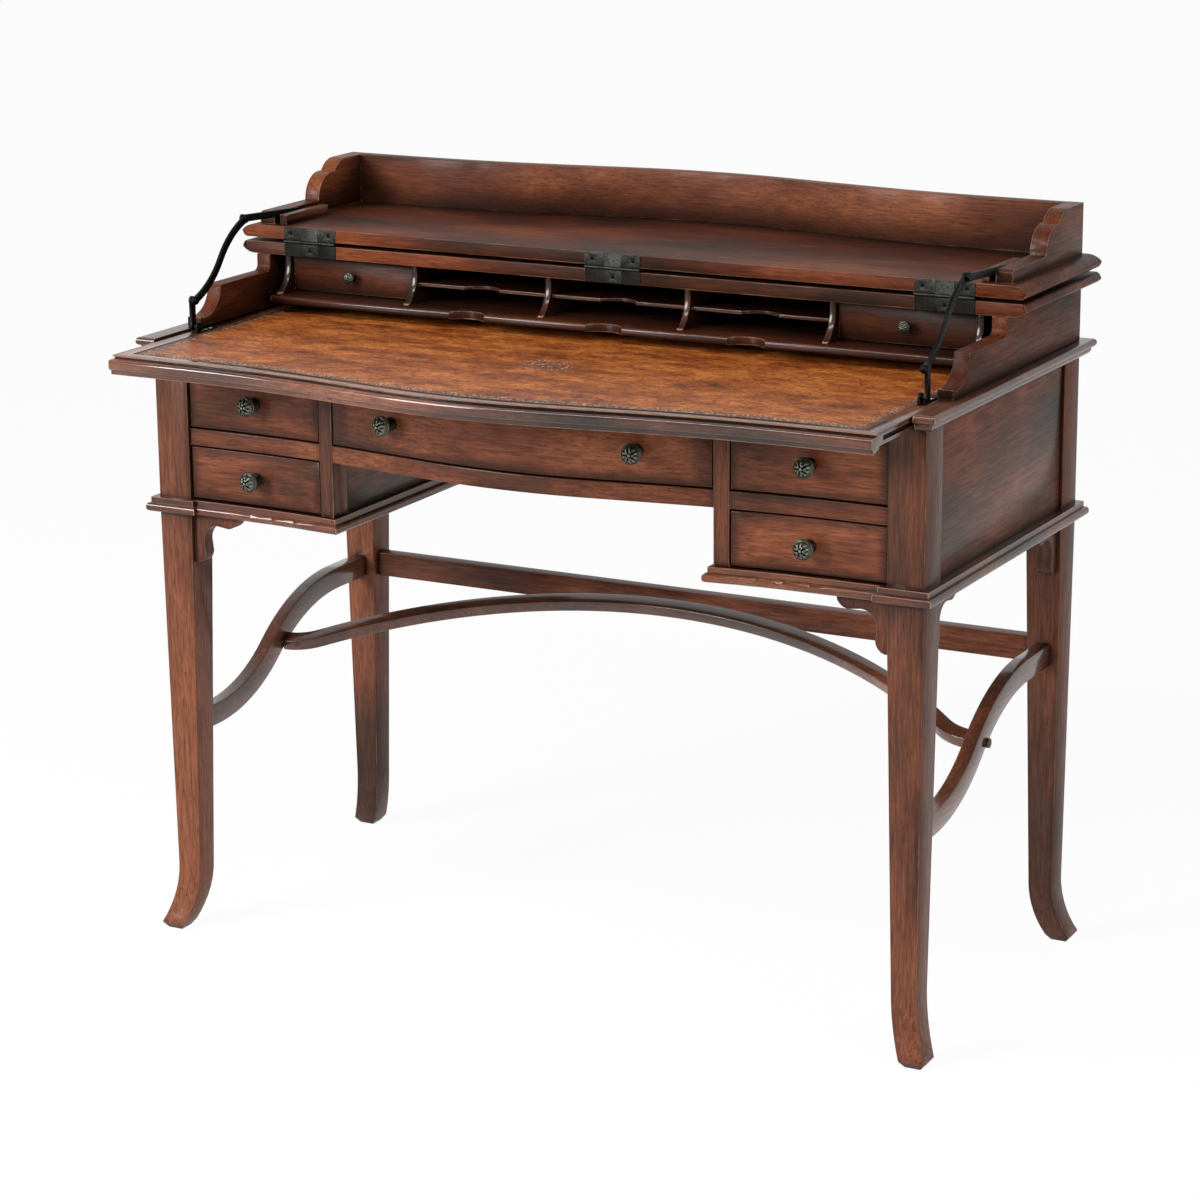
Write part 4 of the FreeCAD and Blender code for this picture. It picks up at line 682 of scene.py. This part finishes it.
# %% Pressed leaves
BORDER_INSET = 11 * MM
LEAF_STEP = 8 * MM
LEAF_LENGTH = 9 * MM
LEAF_WIDTH = 4 * MM
LEAF_LEAN = 0.6
LEAF_SINK = 0.05 * MM
LEAF_RISE = 0.35 * MM
BORDER_STEPS = 120
SURFACE = leather_high.z
ROSETTE = (0.0, POST_FRONT + 66 * MM)
STRETCH = 1.25
# For each ring: how many leaves, its radius, their length and width in millimetres, and its turn in leaves.
ROSETTE_RINGS = ((8, 7, 9, 4.4, 0.0), (12, 15, 9, 5, 0.5), (18, 22.5, 7, 4.4, 0.0))
LEAF = [(1.0, 0.0), (0.55, 0.75), (0.0, 1.0), (-0.55, 0.75), (-1.0, 0.0), (-0.55, -0.75), (0.0, -1.0),
        (0.55, -0.75)]


def leaf(x, y, angle, length, width):
    """A pointed leaf pressed into the leather: its rim, its ridge and its underside."""
    across, up = math.cos(angle), math.sin(angle)
    rim = []
    for along, aside in LEAF:
        a, b = along * length / 2, aside * width / 2
        rim.append((x + a * across - b * up, y + a * up + b * across, SURFACE - LEAF_SINK))
    ridge = [(x + s * length / 4 * across, y + s * length / 4 * up, SURFACE + LEAF_RISE) for s in (1, -1)]
    front, back = 8, 9
    faces = [(0, 1, front), (1, 2, front), (2, back, front), (2, 3, back), (3, 4, back), (4, 5, back),
             (5, 6, back), (6, front, back), (6, 7, front), (7, 0, front), tuple(range(7, -1, -1))]
    return [*rim, *ridge], faces


def border_line(inset):
    """The leather's edge from back left, round the front, to back right, set in by some way."""
    side = SIDE - inset
    back = leather_high.y - inset
    front = [side * (2 * step / BORDER_STEPS - 1) for step in range(BORDER_STEPS + 1)]
    return [(-side, back), *[(x, LEATHER_FRONT + inset - swell(x)) for x in front], (side, back)]


def walk(line, step):
    """Points and directions at even steps along a line."""
    left = step / 2
    for (x0, y0), (x1, y1) in zip(line, line[1:]):
        length = math.hypot(x1 - x0, y1 - y0)
        while left < length:
            part = left / length
            yield x0 + (x1 - x0) * part, y0 + (y1 - y0) * part, math.atan2(y1 - y0, x1 - x0)
            left += step
        left -= length


marks = []
for turn, (x, y, angle) in enumerate(walk(border_line(BORDER_INSET), LEAF_STEP)):
    marks.append(leaf(x, y, angle + (LEAF_LEAN if turn % 2 else -LEAF_LEAN), LEAF_LENGTH, LEAF_WIDTH))
for count, radius, length, width, turn in ROSETTE_RINGS:
    for step in range(count):
        angle = 2 * math.pi * (step + turn) / count
        x = ROSETTE[0] + STRETCH * radius * MM * math.cos(angle)
        y = ROSETTE[1] + radius * MM * math.sin(angle)
        marks.append(leaf(x, y, angle, length * MM, width * MM))
make_piece("leather_tooling", *gather(marks), STAMPED, "slide", "leather")
print("Pressed", len(marks), "leaves")

# %% [markdown]
# ## Fine lines
# A narrow wheel draws a line on each side of the border, and one round the rosette. A curve with a round
# section, partly sunk into the leather, is the shortest way to such a line, and bends with the serpentine.

# %% Lines beside the border
BORDER_HALF = 5.5 * MM
LINE_RADIUS = 0.6 * MM
LINE_SINK = 0.25 * MM
RING = 27 * MM
RING_STEPS = 64


def pressed_line(name, points, closed=False):
    """A fine line that the wheel presses along the leather."""
    curve = bpy.data.curves.new(name, "CURVE")
    curve.dimensions = "3D"
    curve.bevel_depth = LINE_RADIUS
    curve.bevel_resolution = 1
    spline = curve.splines.new("POLY")
    spline.points.add(len(points) - 1)
    for point, (x, y) in zip(spline.points, points):
        point.co = (x, y, SURFACE - LINE_SINK, 1)
    spline.use_cyclic_u = closed
    piece = bpy.data.objects.new(name, curve)
    bpy.context.scene.collection.objects.link(piece)
    curve.materials.append(STAMPED)
    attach(piece, "slide")


pressed_line("outer_line", border_line(BORDER_INSET - BORDER_HALF))
pressed_line("inner_line", border_line(BORDER_INSET + BORDER_HALF))
ring = [2 * math.pi * step / RING_STEPS for step in range(RING_STEPS)]
pressed_line("rosette_line", [(ROSETTE[0] + STRETCH * RING * math.cos(a), ROSETTE[1] + RING * math.sin(a))
                              for a in ring], True)
print("Drew", len(bpy.data.curves), "lines")

# %% [markdown]
# ## The knob's flower
# Each knob is cast bronze: a flange, a ringed neck and a domed head with a flower in relief. The flower has
# five petals inside ten, each with a vein. It could be a bump in the finish, but then the head would stay
# smooth in outline and in the exported mesh. So a function says how high the relief is at each ring and angle
# of the dome.

# %% The flower's relief
PETAL_SLOPE = 0.22
VEIN = 0.1


def petals(ring, angle, count, turn, inner, outer, width):
    """1 on a ring of petals, 0 between them, with a fine vein along each petal."""
    along = (ring - inner) / (outer - inner)
    if not 0 < along < 1:
        return 0.0
    step = 2 * math.pi / count
    aside = abs((angle + turn + step / 2) % step - step / 2) / (step / 2)
    half = width * math.sin(math.pi * along) ** 0.6
    body = min(1.0, max(0.0, (half - aside) / PETAL_SLOPE))
    return body * (0.55 if aside < VEIN and along > 0.2 else 1.0)


def flower(ring, angle):
    """The height of the dome's relief, from 0 in the ground to 1."""
    if ring < 0.15 or ring > 0.93:
        return 1.0
    inner = petals(ring, angle, count=5, turn=0.0, inner=0.17, outer=0.56, width=0.8)
    outer = petals(ring, angle, count=10, turn=math.pi / 10, inner=0.46, outer=0.92, width=0.78)
    return max(inner, 0.85 * outer)


print("The relief is", flower(0.3, 0.2), "on a petal and", flower(0.3, 0.63), "beside it")

# %% [markdown]
# ## Turning a knob
# A knob is round, so its outline is turned about its axis, as on a lathe. Rings of points run up the stem to
# the dome, and on the dome they sink between the petals.

# %% A knob with its flower
STEM = [(0.6, 0.0), (0.64, 0.02), (0.64, 0.05), (0.56, 0.075), (0.44, 0.1), (0.36, 0.14), (0.33, 0.2),
        (0.33, 0.26), (0.38, 0.3), (0.52, 0.33), (0.56, 0.36), (0.54, 0.39), (0.68, 0.42), (0.84, 0.47),
        (0.94, 0.53), (0.99, 0.59), (1.0, 0.64), (0.98, 0.69), (0.95, 0.71), (0.93, 0.705),
        (0.92, 0.7)]  # from flange to dome, as shares of the knob's radius and length
DOME_RINGS = 22
DOME_EDGE, DOME_LOW = STEM[-1]
RELIEF = 0.07


def knob_mesh(radius, length, around):
    """Points and faces of a knob that stands on the origin, along -Y."""
    turns = [2 * math.pi * step / around for step in range(around)]
    rows = [[(radius * r * math.cos(t), -length * h, radius * r * math.sin(t)) for t in turns]
            for r, h in STEM]
    for step in range(DOME_RINGS):
        ring = 1 - step / DOME_RINGS
        crown = math.sqrt(1 - (DOME_EDGE * ring) ** 2) - math.sqrt(1 - DOME_EDGE ** 2) * ring ** 6
        height = DOME_LOW + (1 - DOME_LOW) * crown
        reach = radius * DOME_EDGE * ring
        row = []
        for t in turns:
            sunk = height - RELIEF * (1 - flower(ring, t)) * min(1.0, 8 * (1 - ring))
            row.append((reach * math.cos(t), -length * min(sunk, 1.0), reach * math.sin(t)))
        rows.append(row)
    points, faces = lattice(rows, closed=True)
    last = len(points) - around
    points.append((0.0, -length, 0.0))
    faces.extend((last + step, last + (step + 1) % around, len(points) - 1) for step in range(around))
    faces.append(tuple(range(around - 1, -1, -1)))
    return points, faces


big_knob = knob_mesh(radius=12.5 * MM, length=28 * MM, around=70)
small_knob = knob_mesh(radius=7.5 * MM, length=17 * MM, around=50)
print("Turned knobs of", len(big_knob[0]), "and", len(small_knob[0]), "points")

# %% [markdown]
# ## Knobs on their drawers
# The five front drawers have large knobs, two of them on the centre drawer, and the two small drawers have
# small ones. On the serpentine a knob stands square to the face, so it moves out and turns with the line.

# %% The knobs in their places
FACE = POST_FRONT + 4 * MM
CENTRE_SPREAD = 164 * MM


def stand(mesh, x, y, z, yaw):
    """A mesh turned about Z and moved."""
    move = Matrix.Translation((x, y, z)) @ Matrix.Rotation(yaw, 4, "Z")
    return [tuple(move @ Vector(point)) for point in mesh[0]], mesh[1]


for name in ("lower_left", "upper_left", "lower_right", "upper_right", "centre"):
    low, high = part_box("drawer_knob_" + name)
    middle = (low + high) / 2
    places = [-CENTRE_SPREAD, CENTRE_SPREAD]
    if name != "centre":
        low_front, high_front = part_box("drawer_front_" + name)
        places = [(low_front.x + high_front.x) / 2]
    turned = [stand(big_knob, x, FACE - swell(x), middle.z, lean(x)) for x in places]
    make_piece("knob_" + name, *gather(turned), BRONZE, "drawer_" + name, "bronze", "drawer_knob_" + name)
for name in ("left", "right"):
    low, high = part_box("small_knob_" + name)
    turned = stand(small_knob, (low.x + high.x) / 2, high.y, (low.z + high.z) / 2, 0.0)
    make_piece("pen_knob_" + name, *turned, BRONZE, "small_drawer_" + name, "bronze", "small_knob_" + name)
print("The knobs on the centre drawer turn by", round(math.degrees(lean(CENTRE_SPREAD)), 1), "degrees")

# %% [markdown]
# ## Screws
# Hinge leaves are held by slotted countersunk screws, flush with the leaf, and the stay plates by small
# round-headed ones. A slot could be cut by a boolean, but two half discs on a lower disc show the same slot
# with fewer and cleaner faces.

# %% A slotted head
SLOT_SHARE = 0.17
ARC_POINTS = 13
CORE_POINTS = 24


def slotted_head(radius, top, floor, bottom, angle, crown=0.0):
    """A slotted screw head about Z, with its slot's floor and its end."""
    parts = []
    half_slot = radius * SLOT_SHARE
    for side in (1, -1):
        start = math.asin(half_slot / radius)
        arc = [start + (math.pi - 2 * start) * step / (ARC_POINTS - 1) for step in range(ARC_POINTS)]
        rim = [(radius * math.cos(a), side * radius * math.sin(a)) for a in arc]
        inner = [(x * 0.5, side * (half_slot + (abs(y) - half_slot) * 0.5)) for x, y in rim]
        rows = [[(x, y, floor) for x, y in rim], [(x, y, top) for x, y in rim],
                [(x, y, top + crown) for x, y in inner]]
        points, faces = lattice(rows)
        first, second, third = 0, ARC_POINTS, 2 * ARC_POINTS
        faces.append((first, second, third, third + ARC_POINTS - 1, third - 1, second - 1))
        faces.append(tuple(range(third, third + ARC_POINTS)))
        parts.append((points, faces if side > 0 else [face[::-1] for face in faces]))
    turns = [2 * math.pi * step / CORE_POINTS for step in range(CORE_POINTS)]
    core = lattice([[(radius * math.cos(t) * k, radius * math.sin(t) * k, z) for t in turns]
                    for k, z in ((0.35, bottom), (0.98, floor))], closed=True)
    core[1].extend((tuple(range(CORE_POINTS - 1, -1, -1)), tuple(range(CORE_POINTS, 2 * CORE_POINTS))))
    points, faces = gather([*parts, core])
    turn = Matrix.Rotation(angle, 4, "Z")
    return [turn @ Vector(point) for point in points], faces


print("A slotted head has", len(slotted_head(1.0, 0.0, -0.3, -1.0, 0.0)[1]), "faces")

# %% [markdown]
# ## Driving the screws
# Each leaf of a hinge has a row of three screws, and each stay plate three more. Every slot points its own
# way, as hand-driven screws end up.

# %% Screws in hinges and plates
HEAD = 2.4 * MM
ROUND_HEAD = 2.6 * MM
ROW = 28 * MM
SLOT_TURN = 0.9
FACING = Matrix.Rotation(math.radians(90), 4, "X")
PLATE_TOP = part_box("slide_board")[1].z + 1.6 * MM
PLATE_HALF = 7.75 * MM
PLATE_ROW = (14 * MM, 24 * MM, 34 * MM)
count = 0
for node, body in (("hinge_case_screws", "frame"), ("hinge_lid_screws", "lid")):
    low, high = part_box(node)
    outer = high.x - HEAD - ROW
    heads = []
    for middle in (-outer, 0, outer):
        for x in (middle - ROW, middle, middle + ROW):
            count += 1
            points, faces = slotted_head(HEAD, 0.0, -0.7 * MM, -8 * MM, count * SLOT_TURN)
            move = Matrix.Translation((x, low.y, (low.z + high.z) / 2)) @ FACING
            heads.append(([tuple(move @ point) for point in points], faces))
    make_piece(node.replace("screws", "slotted_heads"), *gather(heads), STAY_IRON, body, "hinge_iron", node)
low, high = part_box("stay_plates")
heads = []
for side in (-1, 1):
    for step in PLATE_ROW:
        count += 1
        points, faces = slotted_head(ROUND_HEAD, 0.3 * MM, 0.0, -1.2 * MM, count * SLOT_TURN, 0.5 * MM)
        move = Matrix.Translation((side * (high.x - PLATE_HALF), low.y + step, PLATE_TOP))
        heads.append(([tuple(move @ point) for point in points], faces))
make_piece("stay_plate_screws", *gather(heads), SCREW_STEEL, "slide", "stay_iron")
print("Drove", count, "screws")

# %% [markdown]
# ## The camera
# The camera stands where the photograph was taken. Its place, angles and lens come from fitting the desk's
# own corners. It could be aimed at a point, but then it would have no roll. Three directions make its frame
# exactly: back towards the lens, right, and up.

# %% Camera
AZIMUTH = math.radians(28.149)
ELEVATION = math.radians(15.195)
ROLL = math.radians(-0.471)
CAMERA_PLACE = Vector((1.99686, POST_FRONT - 3.53574, 1.59832))
FOCAL_PIXELS = 3550.62
PHOTO_PIXELS = 1200
back = Vector((math.sin(AZIMUTH) * math.cos(ELEVATION), -math.cos(AZIMUTH) * math.cos(ELEVATION),
               math.sin(ELEVATION)))
right = Vector((math.cos(AZIMUTH), math.sin(AZIMUTH), 0))
up = back.cross(right)
turned_right = right * math.cos(ROLL) + up * math.sin(ROLL)
turned_up = up * math.cos(ROLL) - right * math.sin(ROLL)
camera = bpy.data.objects.new("camera", bpy.data.cameras.new("camera"))
bpy.context.scene.collection.objects.link(camera)
camera.matrix_world = Matrix.Translation(CAMERA_PLACE) @ Matrix(
    (turned_right, turned_up, back)).transposed().to_4x4()
camera.data.sensor_width = 36
camera.data.lens = FOCAL_PIXELS / PHOTO_PIXELS * camera.data.sensor_width
bpy.context.scene.camera = camera
print("Lens", round(camera.data.lens, 1), "mm")

# %% [markdown]
# ## The lamps
# The light is a soft key from the front left, a faint fill from the right, and a narrow strip overhead that
# draws a bright line along each polished moulding. Large lamps give soft shadows, as windows do, and their
# strength is plain, so that colours come out as they are written.

# %% Lamps
MIDDLE = (0, 0, 0.6)


def area_light(name, place, aim, width, height, watts):
    """A soft light that points at a spot."""
    light = bpy.data.objects.new(name, bpy.data.lights.new(name, "AREA"))
    light.data.shape = "RECTANGLE"
    light.data.size = width
    light.data.size_y = height
    light.data.energy = watts
    light.location = place
    light.rotation_euler = (Vector(aim) - Vector(place)).to_track_quat("-Z", "Y").to_euler()
    bpy.context.scene.collection.objects.link(light)


area_light("key", (-2.4, -3.3, 2.15), MIDDLE, width=1.4, height=1.4, watts=185)
area_light("fill", (3.3, -1.6, 1.5), MIDDLE, width=2.2, height=2.2, watts=38)
area_light("strip", (-0.2, -1.5, 2.6), (0, -0.1, 0.8), width=2.4, height=0.25, watts=46)
print("Lit by", len(bpy.data.lights), "lamps")

# %% [markdown]
# ## The floor
# The floor is matt white paint. To the eye it is as white as the studio, with a soft shadow under the desk.
# More light would make it white too, but it would bleach the desk. So the floor glows only for rays that come
# from the camera, or by way of gloss or glass.

# %% Floor
FLOOR_GLOW = 0.95
FLOOR_SIZE = 60


def seen_directly(tree):
    """1 for the camera's rays and for those that gloss or glass sends on, 0 for diffuse light."""
    path = add(tree, "LightPath")
    clamped = {"operation": "ADD", "use_clamp": True}
    both = add(tree, "Math", (path["Is Camera Ray"], path["Is Glossy Ray"]), **clamped)["Value"]
    return add(tree, "Math", (both, path["Is Transmission Ray"]), **clamped)["Value"]


def pale_floor():
    """A floor that looks white and keeps a soft shadow."""
    material, tree, shader = new_material("pale_floor")
    feed(tree, shader, {"Base Color": "#f4f4f3", "Roughness": 0.9})
    white = add(tree, "Emission", {"Color": "#ffffff", "Strength": 1.0})["Emission"]
    part = add(tree, "Math", (seen_directly(tree), FLOOR_GLOW), operation="MULTIPLY")["Value"]
    mixed = add(tree, "MixShader", (part, shader.outputs["BSDF"], white))["Shader"]
    feed(tree, tree.nodes["Material Output"], {"Surface": mixed})
    return material


bpy.ops.mesh.primitive_plane_add(size=FLOOR_SIZE)
floor = bpy.context.object
floor.name = "floor"
floor.data.materials.append(pale_floor())
print("Floor:", floor.active_material.name)

# %% [markdown]
# ## The studio
# Behind the desk the studio is white, and the room in front of it is dimmer, as behind a photographer, so
# that polished faces do not turn milky. The camera sees white on all sides. Gloss sees the white backdrop and
# the dimmer room. Diffuse light gets only a little of either, and comes from the lamps.

# %% Studio
DIFFUSE_SKY = 0.24
FRONT_ROOM = 0.2
world = bpy.data.worlds.new("studio")
bpy.context.scene.world = world
world.use_nodes = True
sky = world.node_tree
deep = add(sky, "SeparateXYZ", [add(sky, "TexCoord")["Generated"]])["Y"]
backdrop = add(sky, "MapRange", (deep, -0.1, 0.5, FRONT_ROOM, 1.0), **SMOOTH)["Result"]
camera_ray = add(sky, "LightPath")["Is Camera Ray"]
white = add(sky, "Mix", {0: camera_ray, 2: backdrop, 3: 1.0})[0]
strength = add(sky, "Mix", {0: seen_directly(sky), 2: DIFFUSE_SKY, 3: white})[0]
feed(sky, sky.nodes["Background"], {"Color": "#ffffff", "Strength": strength})
bpy.context.scene.view_settings.view_transform = "Standard"
print("Seen through", bpy.context.scene.view_settings.view_transform, "colours")
